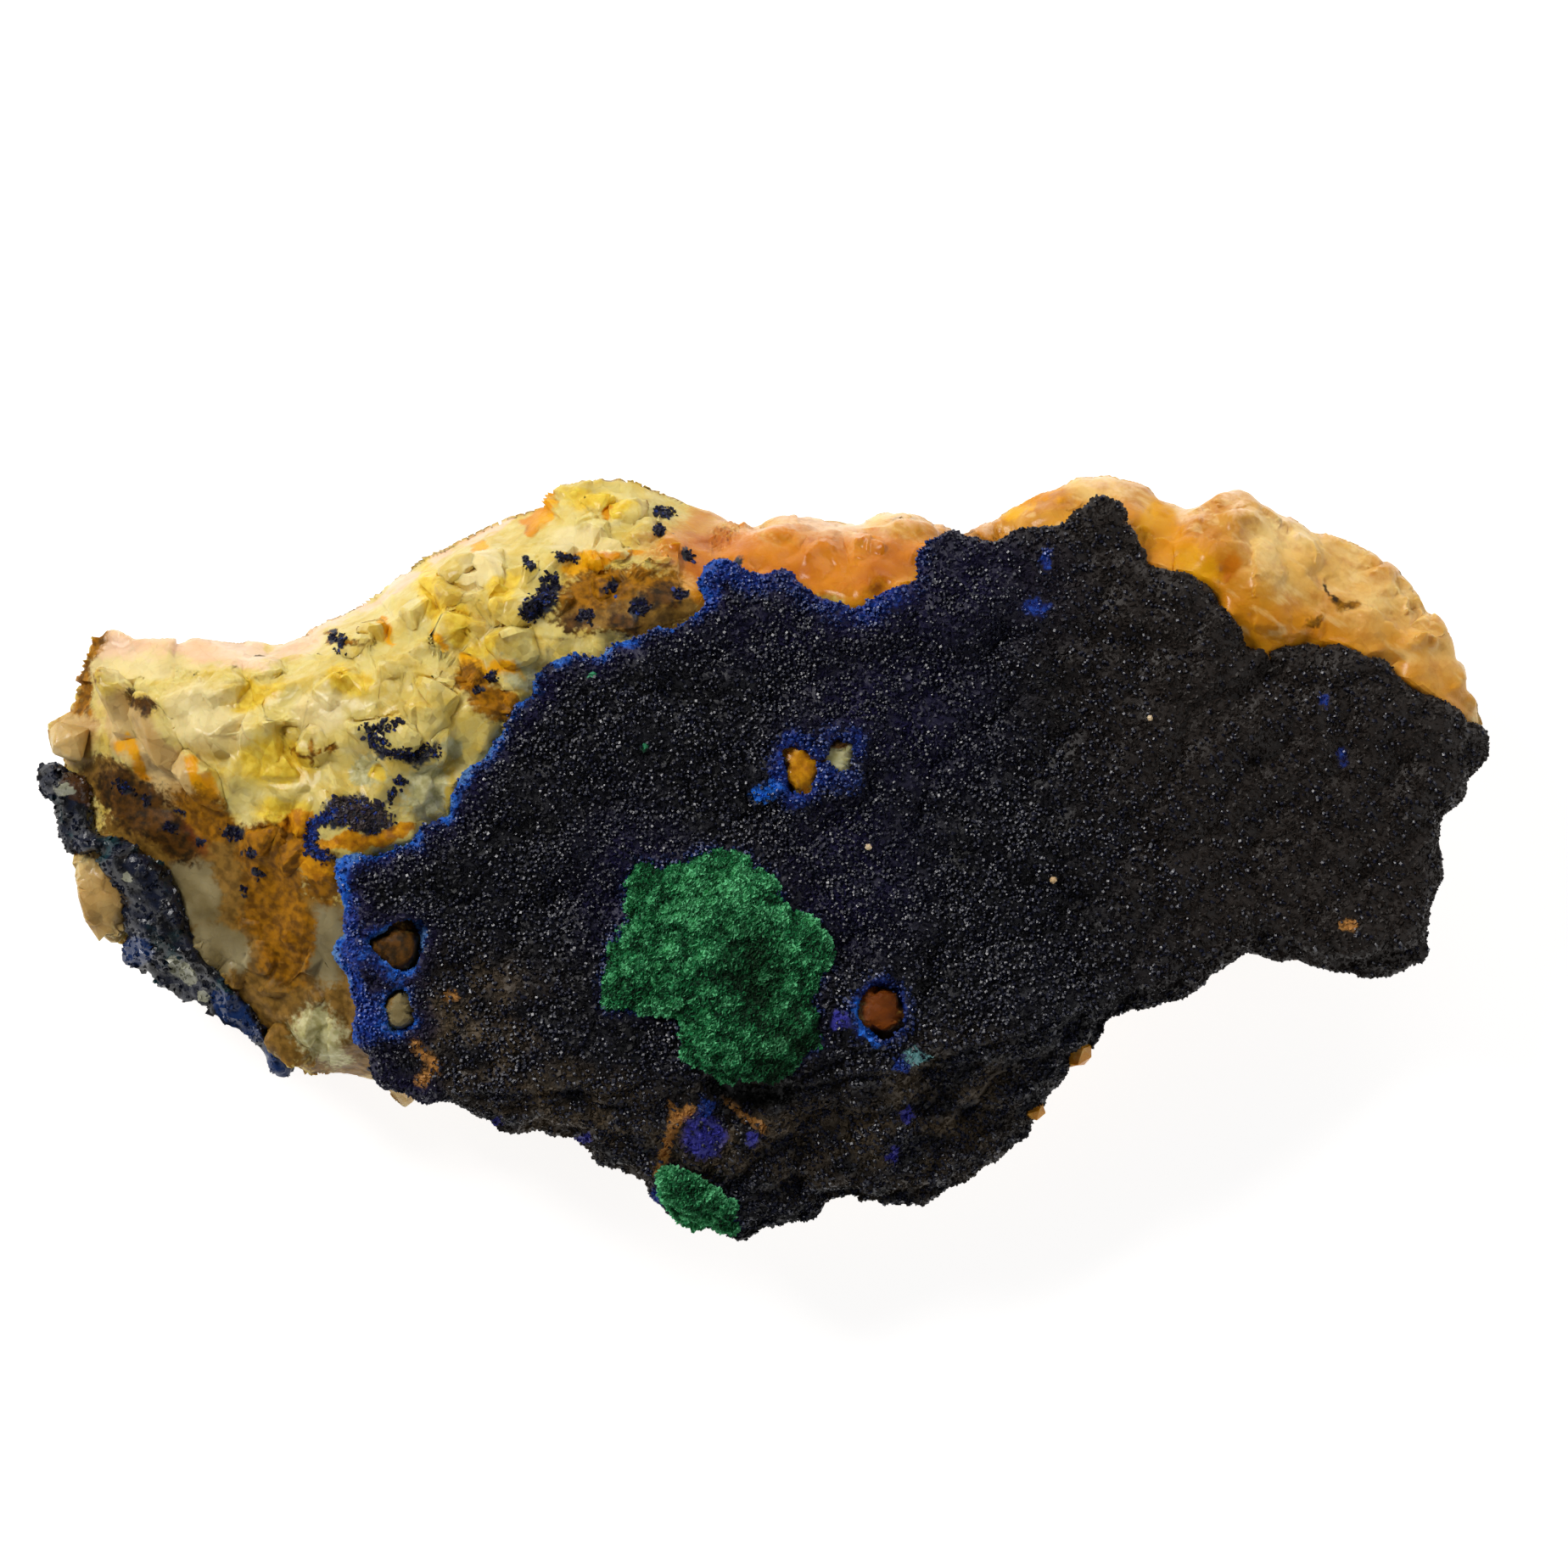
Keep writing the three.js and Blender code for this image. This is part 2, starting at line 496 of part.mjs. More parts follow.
/** Height of the rock's lower surface: flat at the foot, rising to the rim. */
function undersideHeight(x, y) {
  const fromFoot = -depthInside(footOutline, x, y);
  if (fromFoot <= 0) return 0;
  const share = fromFoot / (fromFoot + edgeDistance(rockOutline, x, y));
  const broken = facets(UNDERSIDE_FACETS, x, y) + lumps(UNDERSIDE_LUMPS, x, y);
  const raised = rimHeight(x, y) * share ** 2.2 + 0.8 * ease(fromFoot / 2);
  return Math.max(0.15, raised + broken * ease(fromFoot / 3) * ease(3 * (1 - share)));
}

/** Height of the crust's upper surface. */
function crustHeight(x, y) {
  const face = faceHeight(x, y);
  const opened = WINDOWS.find((w) => fromWindow(w, x, y) < 1.1);
  if (opened) return face + opened.sill - 0.8;
  const freeEdge = edgeDistance(crustOutline, x, y);
  const outerEdge = edgeDistance(specimenOutline, x, y);
  const wrapping = CRUST_OVERHANG * (1 - Math.min(1, outerEdge / WRAP_REACH)) ** 2.2;
  const thinning = outerEdge < 0.7 ? 0 : CRUST_THICKNESS * (1 - ease(freeEdge / 0.8));
  const lips = Math.max(0, ...WINDOWS.map((w) => w.lip * ease((2.5 - fromWindow(w, x, y)) / 1.1)));
  const relief = lumps(CRUST_LUMPS, x, y) * (1 - 0.8 * lips) * ease(outerEdge / 1.5);
  return face - Math.max(wrapping, thinning) + relief + lips;
}

/** Height of the malachite over an outline, with a dimple and small lumps. */
function malachiteHeight(outline, rise, x, y) {
  const domed = rise * ease((edgeDistance(outline, x, y) + 0.7) / 2.8);
  return crustHeight(x, y) + domed + bumps(MALACHITE_BUMPS, x, y) + lumps(MALACHITE_LUMPS, x, y);
}

/** Points on rings round each window, so that steep sides stay steep. */
function windowRings(rings) {
  const placed = [];
  for (const window of WINDOWS) {
    for (const ring of rings) {
      for (let i = 0; i < RING_POINTS; i += 1) {
        const angle = (2 * Math.PI * (i + ring)) / RING_POINTS;
        const reach = ring * cornerReach(window, angle);
        const x = window.at[0] + reach * window.radii[0] * Math.cos(angle);
        const y = window.at[1] + reach * window.radii[1] * Math.sin(angle);
        if (placed.every(([px, py]) => Math.hypot(px - x, py - y) > RING_GAP)) placed.push([x, y]);
      }
    }
  }
  return placed;
}

/** The quartz rock, with knobs, standing crystals and grains fused to it. */
function makeRock() {
  const spacing = (x, y) => (depthInside(crustOutline, x, y) > 1.2 ? BURIED_SPACING : ROCK_SPACING);
  const aroundFoot = ([x, y]) => depthInside(footOutline, x, y) < 0.01;
  const body = slab({
    outline: rockOutline,
    rim: rimHeight,
    upper: knobbedHeight,
    upperPoints: scatter(rockOutline, spacing, 11, windowRings([KNOB_EDGE, KNOB_EDGE + 0.25])),
    lower: undersideHeight,
    lowerPoints: scatter(rockOutline, () => UNDERSIDE_SPACING, 12, footOutline).filter(aroundFoot),
  });
  const random = randomSource(77);
  const crystals = CRYSTALS.map(({ at, size, turn }) => {
    return crystal(size, 12, random).rotateZ(THREE.MathUtils.degToRad(turn)).translate(...at);
  });
  const grains = GRAIN_REGIONS.flatMap(({ at, reach, grain: size }) =>
    scatter(circle(at, reach), () => 0.95 * size, 31 + Math.round(at[0]))
      .filter(([x, y]) => depthInside(crustOutline, x, y) < -0.6 * size)
      .filter(([x, y]) => depthInside(rockOutline, x, y) > 0.7 * size)
      .map(([x, y]) => {
        const across = size * (1 + 0.7 * random());
        const grain = crystal([across, across * (0.8 + 0.5 * random()), across * 1.1], 9, random);
        grain.rotateX(1.2 * random()).rotateZ(6 * random());
        return grain.translate(x, y, rockHeight(x, y) - 0.3 * across);
      }),
  );
  return [...crystals, ...grains].reduce((whole, geometry) => whole.add(solidOf(geometry)), body);
}

/** The azurite crust, cut to lie on the rock. */
function makeCrust(rock) {
  const wraps = (x, y) => edgeDistance(specimenOutline, x, y) < 0.7;
  const body = slab({
    outline: crustOutline,
    rim: (x, y) => faceHeight(x, y) - (wraps(x, y) ? CRUST_OVERHANG + 0.2 : CRUST_THICKNESS),
    upper: crustHeight,
    upperPoints: scatter(crustOutline, () => CRUST_SPACING, 101, windowRings([1, 1.4, 2])),
    lower: (x, y) => faceHeight(x, y) - CRUST_THICKNESS - 2.5,
    lowerPoints: scatter(crustOutline, () => HIDDEN_SPACING, 102),
  });
  return fittedOn([rock], body);
}

/** A patch of malachite, cut to lie on what carries it. */
function makeMalachite(outlinePoints, rise, carriers, seed) {
  const outline = closedCurve(outlinePoints, 1.1);
  const body = slab({
    outline,
    rim: (x, y) => crustHeight(x, y) + 0.2,
    upper: (x, y) => malachiteHeight(outline, rise, x, y),
    upperPoints: scatter(outline, () => 1.15, seed),
    lower: (x, y) => crustHeight(x, y) - 2.6,
    lowerPoints: scatter(outline, () => HIDDEN_SPACING, seed + 1),
  });
  return fittedOn(carriers, body);
}

/** The dark azurite seam on the lower left edge, cut to lie on the rock. */
function makeSeam(rock) {
  const outline = closedCurve(SEAM_OUTLINE, 1.3);
  const domed = (x, y) => SEAM_RISE * ease((edgeDistance(outline, x, y) + 0.3) / 1.6) + 0.6;
  const level = (x, y) => Math.max(rockHeight(x, y), rimHeight(x, y));
  const body = slab({
    outline,
    rim: (x, y) => level(x, y) - 0.4,
    upper: (x, y) => level(x, y) + domed(x, y) + lumps(SEAM_LUMPS, x, y),
    upperPoints: scatter(outline, () => 1.3, 201),
    lower: (x, y) => level(x, y) - 2,
    lowerPoints: scatter(outline, () => HIDDEN_SPACING, 202),
  });
  return fittedOn([rock], body);
}

/** A named mesh of a manifold-3d solid. */
function meshOf(name, solid, color, roughness) {
  const material = new THREE.MeshStandardMaterial({ color, roughness, metalness: 0, flatShading: true });
  const mesh = new THREE.Mesh(geometryOf(solid), material);
  mesh.name = name;
  return mesh;
}

const rock = makeRock();
const crust = makeCrust(rock);
const patch = makeMalachite(MALACHITE_OUTLINE, MALACHITE_RISE, [crust, rock], 301);
const lowerPatch = makeMalachite(LOWER_MALACHITE_OUTLINE, LOWER_MALACHITE_RISE, [crust, rock], 401);
const seam = makeSeam(rock);

const specimen = new THREE.Group();
specimen.add(
  meshOf("quartz_rock", rock, 0xc79a55, 0.55),
  meshOf("azurite_crust", crust, 0x14142a, 0.35),
  meshOf("malachite_patch", patch, 0x2f7d4c, 0.8),
  meshOf("lower_malachite_patch", lowerPatch, 0x2f7d4c, 0.8),
  meshOf("azurite_seam", seam, 0x1b2a3c, 0.45),
);

export default specimen;
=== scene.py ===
"""Azurite and malachite specimen, dressed for its render.

A broken slab of iron-stained quartz rock carries a crust of fine azurite crystals, two patches of
velvety malachite and a narrow dark seam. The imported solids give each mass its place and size. This
script gives each its relief, the crystals that grow on it, and its finish.

Lengths are in metres. Places on the specimen are given in millimetres, and MM turns one into the
other. +X runs along the specimen, +Y across it and +Z up out of the azurite face.
"""

from __future__ import annotations

import itertools
import logging
import math
from collections.abc import Iterable, Iterator
from contextlib import contextmanager
from dataclasses import dataclass, field
from enum import Enum

import bpy
import numpy as np
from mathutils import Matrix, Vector
from mathutils.bvhtree import BVHTree
from mathutils.kdtree import KDTree

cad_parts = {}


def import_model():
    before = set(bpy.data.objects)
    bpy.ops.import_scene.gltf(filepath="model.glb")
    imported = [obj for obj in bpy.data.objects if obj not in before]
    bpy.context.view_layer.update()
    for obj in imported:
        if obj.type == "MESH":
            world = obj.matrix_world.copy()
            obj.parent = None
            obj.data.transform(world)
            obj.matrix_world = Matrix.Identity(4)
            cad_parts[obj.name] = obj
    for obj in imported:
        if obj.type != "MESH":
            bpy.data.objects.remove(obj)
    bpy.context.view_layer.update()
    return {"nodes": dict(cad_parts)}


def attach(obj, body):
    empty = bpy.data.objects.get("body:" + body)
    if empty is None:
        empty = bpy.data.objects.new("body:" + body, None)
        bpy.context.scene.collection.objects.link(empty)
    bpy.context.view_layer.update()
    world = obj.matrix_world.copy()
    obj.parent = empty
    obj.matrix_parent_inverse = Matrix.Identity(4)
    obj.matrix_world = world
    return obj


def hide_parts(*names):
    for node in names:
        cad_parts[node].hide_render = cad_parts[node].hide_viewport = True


LOG = logging.getLogger("specimen")
MM = 0.001
BODY = "root"
UP = Vector((0, 0, 1))
# Least upward part of a normal on a face that shows from above
FACES_UP = 0.05
# Most of it on a face of the underside, and least of it on one that lies flat
FACES_DOWN = -0.8
LIES_FLAT = 0.5
# Points of the solids that lie nearer than this are one
JOIN_GAP = 0.001 * MM
# Numbers that scramble a cell's place into random ones
LOW_BITS = 0xFFFFFFFF
CELL_FACTORS = np.array([73856093, 19349663, 83492791], dtype=np.int64)
SEED_FACTOR = 668265263
SCRAMBLERS = ((15, 2246822519), (13, 3266489917))

Colour = tuple[float, float, float]
Traits = dict[str, np.ndarray]


def tint(red: int, green: int, blue: int) -> Colour:
    """Turns a colour given from 0 to 255 into the linear values that shaders take.

    Args:
        red: The red part.
        green: The green part.
        blue: The blue part.

    Returns:
        The linear red, green and blue.
    """

    def linear(part: int) -> float:
        """Undoes the display curve of one part."""
        share = part / 255
        return share / 12.92 if share <= 0.04045 else ((share + 0.055) / 1.055) ** 2.4

    return linear(red), linear(green), linear(blue)


def ease(share: np.ndarray) -> np.ndarray:
    """Eases from 0 to 1 as its input does, and stays at the ends."""
    kept = np.clip(share, 0, 1)
    return kept * kept * (3 - 2 * kept)


def hashed(cells: np.ndarray, seed: int) -> np.ndarray:
    """Gives each whole-numbered cell three repeatable random numbers.

    Args:
        cells: Cell numbers, (n, 3).
        seed: Picks one of many patterns.

    Returns:
        Numbers from 0 to 1, (n, 3).
    """
    mixed = cells.astype(np.int64) @ CELL_FACTORS + seed * SEED_FACTOR
    state = (mixed & LOW_BITS).astype(np.uint64)
    parts = []
    for _ in range(3):
        for shift, factor in SCRAMBLERS:
            state = ((state ^ (state >> np.uint64(shift))) * np.uint64(factor)) & np.uint64(LOW_BITS)
        state = state ^ (state >> np.uint64(16))
        parts.append(state / LOW_BITS)
    return np.stack(parts, axis=1)


def soft_noise(points: np.ndarray, size: float, seed: int) -> np.ndarray:
    """Smooth noise in space, with lumps of about the given size.

    Args:
        points: Places, (n, 3), in metres.
        size: Distance from lump to lump, in metres.
        seed: Picks one of many patterns.

    Returns:
        Values from -1 to 1, (n,).
    """
    scaled = points / size
    cell = np.floor(scaled)
    share = ease(scaled - cell)
    total = np.zeros(len(points))
    for corner in itertools.product((0, 1), repeat=3):
        weight = np.where(corner, share, 1 - share).prod(axis=1)
        total += weight * hashed(cell + corner, seed)[:, 0]
    return 2 * total - 1


def layered_noise(points: np.ndarray, size: float, seed: int, layers: int = 3) -> np.ndarray:
    """Noise with finer and weaker layers added.

    Args:
        points: Places, (n, 3), in metres.
        size: Size of the coarsest lumps, in metres.
        seed: Picks one of many patterns.
        layers: How many layers, each half as coarse as the one before.

    Returns:
        Values from about -1 to 1, (n,).
    """
    total = np.zeros(len(points))
    for layer in range(layers):
        total += soft_noise(points, size / 2**layer, seed + layer) / 2**layer
    return total / 1.5


def bud_distance(points: np.ndarray, size: float, seed: int) -> np.ndarray:
    """Distance of each point from the middle of the nearest of many scattered buds.

    Args:
        points: Places, (n, 3), in metres.
        size: Distance from bud to bud, in metres.
        seed: Picks one of many patterns.

    Returns:
        Distances, (n,), in metres.
    """
    scaled = points / size
    base = np.floor(scaled)
    nearest = np.full(len(points), np.inf)
    away = np.zeros_like(points)
    for step in itertools.product((-1, 0, 1), repeat=3):
        cell = base + step
        offset = scaled - cell - hashed(cell, seed)
        distance = np.linalg.norm(offset, axis=1)
        closer = distance < nearest
        nearest = np.where(closer, distance, nearest)
        away[closer] = offset[closer]
    return np.linalg.norm(away * size, axis=1)


@dataclass(frozen=True)
class Blocks:
    """Flat-faced crystals that have grown into each other.

    Attributes:
        heights: Height of the topmost crystal over each point, (n,), in metres.
        traits: Three random numbers of that crystal, (n, 3).
    """

    heights: np.ndarray
    traits: np.ndarray

    @classmethod
    def over(cls, points: np.ndarray, size: float, seed: int, tilt: float = 1.0, steep: float = 1.2,
             sides: int = 4) -> Blocks:
        """Grows a blunt pyramid from each cell of space, and finds which one comes out on top.

        Args:
            points: Places, (n, 3), in metres.
            size: Distance from crystal to crystal, in metres.
            seed: Picks one of many patterns.
            tilt: Range of the slopes of the crystals' tops.
            steep: Slope of their sides.
            sides: How many sides each has.

        Returns:
            The crystals that show at the points.
        """
        top_range = 0.4
        side_near = 0.3
        side_range = 0.35
        level = 0.3
        scaled = points / size
        base = np.floor(scaled)
        heights = np.full(len(points), -np.inf)
        traits = np.zeros_like(points)
        for step in itertools.product((-1, 0, 1), repeat=3):
            cell = base + step
            offset = scaled - cell - hashed(cell, seed)
            chance = hashed(cell, seed + 1)
            slope = tilt * (hashed(cell, seed + 2) - 0.5)
            middle = top_range * chance[:, 0]
            reach = side_near + side_range * chance[:, 1]
            height = middle + np.einsum("ij,ij->i", offset, slope)
            for side in range(sides):
                facing = hashed(cell, seed + 3 + side) - 0.5
                facing /= np.linalg.norm(facing, axis=1, keepdims=True)
                fall = steep * (reach - np.einsum("ij,ij->i", offset, facing))
                height = np.minimum(height, middle + fall)
            higher = height > heights
            heights = np.where(higher, height, heights)
            traits[higher] = chance[higher]
        return cls((heights - level) * size, traits)


@dataclass(frozen=True)
class Spot:
    """A soft-edged ellipse on the specimen, seen from above.

    Attributes:
        x: Place along the specimen, in mm.
        y: Place across the specimen, in mm.
        long: Reach along its own length, in mm.
        wide: Reach across it, in mm.
        turn: Turn of its length from +X, in degrees.
        soft: Share of its reach over which it fades.
    """

    x: float
    y: float
    long: float
    wide: float
    turn: float = 0
    soft: float = 0.4

    def weight(self, points: np.ndarray) -> np.ndarray:
        """How much of the spot lies at each point.

        Args:
            points: Places, (n, 3), in metres.

        Returns:
            Shares from 0 to 1, (n,).
        """
        angle = math.radians(self.turn)
        dx = points[:, 0] / MM - self.x
        dy = points[:, 1] / MM - self.y
        along = (dx * math.cos(angle) + dy * math.sin(angle)) / self.long
        across = (dy * math.cos(angle) - dx * math.sin(angle)) / self.wide
        return ease((1 + self.soft - np.hypot(along, across)) / (2 * self.soft))


@dataclass(frozen=True)
class Stroke:
    """A soft-edged line on the specimen, seen from above.

    Attributes:
        places: Places along it, in mm.
        wide: Reach to each side of it, in mm.
        soft: Share of that reach over which it fades.
    """

    places: tuple[tuple[float, float], ...]
    wide: float
    soft: float = 0.5

    def weight(self, points: np.ndarray) -> np.ndarray:
        """How much of the line lies at each point.

        Args:
            points: Places, (n, 3), in metres.

        Returns:
            Shares from 0 to 1, (n,).
        """
        flat = points[:, :2] / MM
        nearest = np.full(len(points), np.inf)
        for start, end in itertools.pairwise(np.array(self.places)):
            step = end - start
            share = np.clip((flat - start) @ step / (step @ step), 0, 1)
            gap = np.linalg.norm(flat - start - share[:, None] * step, axis=1)
            nearest = np.minimum(nearest, gap)
        return ease((1 + self.soft - nearest / self.wide) / (2 * self.soft))


Marks = tuple[Spot | Stroke, ...]


@dataclass(frozen=True)
class Nudge:
    """A place on the outline, seen from above, near which the masses are moved a little, in mm.

    Attributes:
        x: Place along the specimen.
        y: Place across the specimen.
        along: Move along the specimen.
        across: Move across it.
        reach: How far from the place the move fades out.
    """

    x: float
    y: float
    along: float
    across: float
    reach: float = 3.4


def nudged(points: np.ndarray) -> np.ndarray:
    """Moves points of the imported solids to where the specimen's outline runs.

    Args:
        points: Places, (n, 3), in metres.

    Returns:
        Moved places, (n, 3).
    """
    moved = points.copy()
    for nudge in NUDGES:
        apart = np.hypot(points[:, 0] / MM - nudge.x, points[:, 1] / MM - nudge.y)
        share = ease(1 - apart / nudge.reach)
        moved[:, 0] += nudge.along * MM * share
        moved[:, 1] += nudge.across * MM * share
    return moved


def zone(points: np.ndarray, marks: Marks) -> np.ndarray:
    """How much of any of the marks lies at each point.

    Args:
        points: Places, (n, 3), in metres.
        marks: The spots and lines.

    Returns:
        Shares from 0 to 1, (n,).
    """
    return np.max([mark.weight(points) for mark in marks], axis=0)


def strayed(points: np.ndarray, reach: float, size: float, seed: int) -> np.ndarray:
    """Points moved a little along noise, so that zones measured at them get ragged edges.

    Args:
        points: Places, (n, 3), in metres.
        reach: How far a point strays, in metres.
        size: Size of the noise, in metres.
        seed: Picks one of many patterns.

    Returns:
        Moved places, (n, 3).
    """
    shift = [layered_noise(points, size, seed + 10 * axis) for axis in range(3)]
    return points + reach * np.stack(shift, axis=1)


def spots(*rows: tuple[float, ...]) -> Marks:
    """Spots from rows of their x, y, long, wide, turn and soft."""
    return tuple(Spot(*row) for row in rows)


def strokes(*rows: tuple) -> Marks:
    """Strokes from rows of their places, wide and soft."""
    return tuple(Stroke(*row) for row in rows)


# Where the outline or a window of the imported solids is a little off: x, y, along, across and reach
NUDGES: tuple[Nudge, ...] = tuple(Nudge(*row) for row in (
    (-9, 25.2, 0, 0.5, 4), (-25.5, 18.9, -0.3, 0.5), (-46.4, 13.8, -0.4, 0.1, 2.2),
    (-47.5, 10.8, -0.8, 0, 2.6), (49.8, 8.4, 0.4, 0, 2.8), (48.3, 3.5, 0.8, -0.15, 4),
    (46.6, -1.5, 0.4, -0.1), (45.4, -6, 0.9, -0.4), (40.4, -8, 0, -0.4, 2.2), (35.6, -7.2, 0, -0.4, 3),
    (31.2, -8, 0.2, -0.35, 2.4), (-47.9, -0.3, -0.9, -0.2, 2), (-49.6, 3.6, -0.6, 0, 2),
    (-48.8, 7.8, -0.3, 0, 2.4), (-44.8, -6.5, -0.7, -0.5, 2.2), (23.6, -12.2, 0.55, -0.65, 3.8),
    (20.4, -14.8, 0.3, -0.35, 3.6), (-37.3, -11.2, -0.2, -0.35, 2.4), (-39.4, -10.6, 0.2, 0.5, 2),
    (-32, -14.8, -0.1, -0.6, 2.6), (-25.2, -16.7, -0.1, -0.45, 2), (-18.4, -18.7, -0.2, -0.6, 2.4),
    (-12, -21, -0.45, -0.55, 4), (-4, -25.8, 0, 0.4, 3), (0.2, -25.4, 0.2, -0.6, 3),
    (3.8, -24.6, 0, -0.6, 2.6), (8, -23.4, 0, -0.65, 4), (13.2, -22.4, 0.1, -0.25, 3),
    (17.2, 24.2, 0.4, -0.85, 5), (-1.2, 22.8, 0, -1, 4.6), (5, 23, 0, -0.35, 4),
    (10.4, 23.2, 0, -0.25, 2.6), (28.5, 24.4, 0, -0.75, 2.4), (25, 26, 0, -0.45, 3.2),
    (37, 23.2, -0.2, -0.4, 2.8), (42.4, 19.8, -0.35, -0.42, 5), (46.6, 16.4, -0.4, -0.3, 2.4),
    (-42.6, 15.4, 0, -0.7, 3.6), (-38.4, 15.2, 0, -0.4, 2.8), (-34.4, 14.9, 0, -0.6, 3.2),
    (48.6, 11.9, -0.6, 0, 2.2), (-47, -3.6, 1.2, 0.2, 3.6), (-42.2, -9, 0.5, 0.7, 3),
    (-23.2, -17.4, 0, 0.7, 2.4), (-20.4, -17.9, 0.1, 0.6, 1.9), (-15.4, -19.3, 0, 0.5, 2.6),
    (5.9, 6.9, -0.8, 0, 2.8),
))
# The dark azurite on the quartz beside the crust, and its blue trim
INCLUSION = Spot(-27.9, 2.9, 2.3, 1.15, -12, 0.3)
TRIM = Stroke(((-29.6, 3), (-31.1, 2.2), (-31.2, 0.5), (-30.2, 0)), 0.4, 0.6)
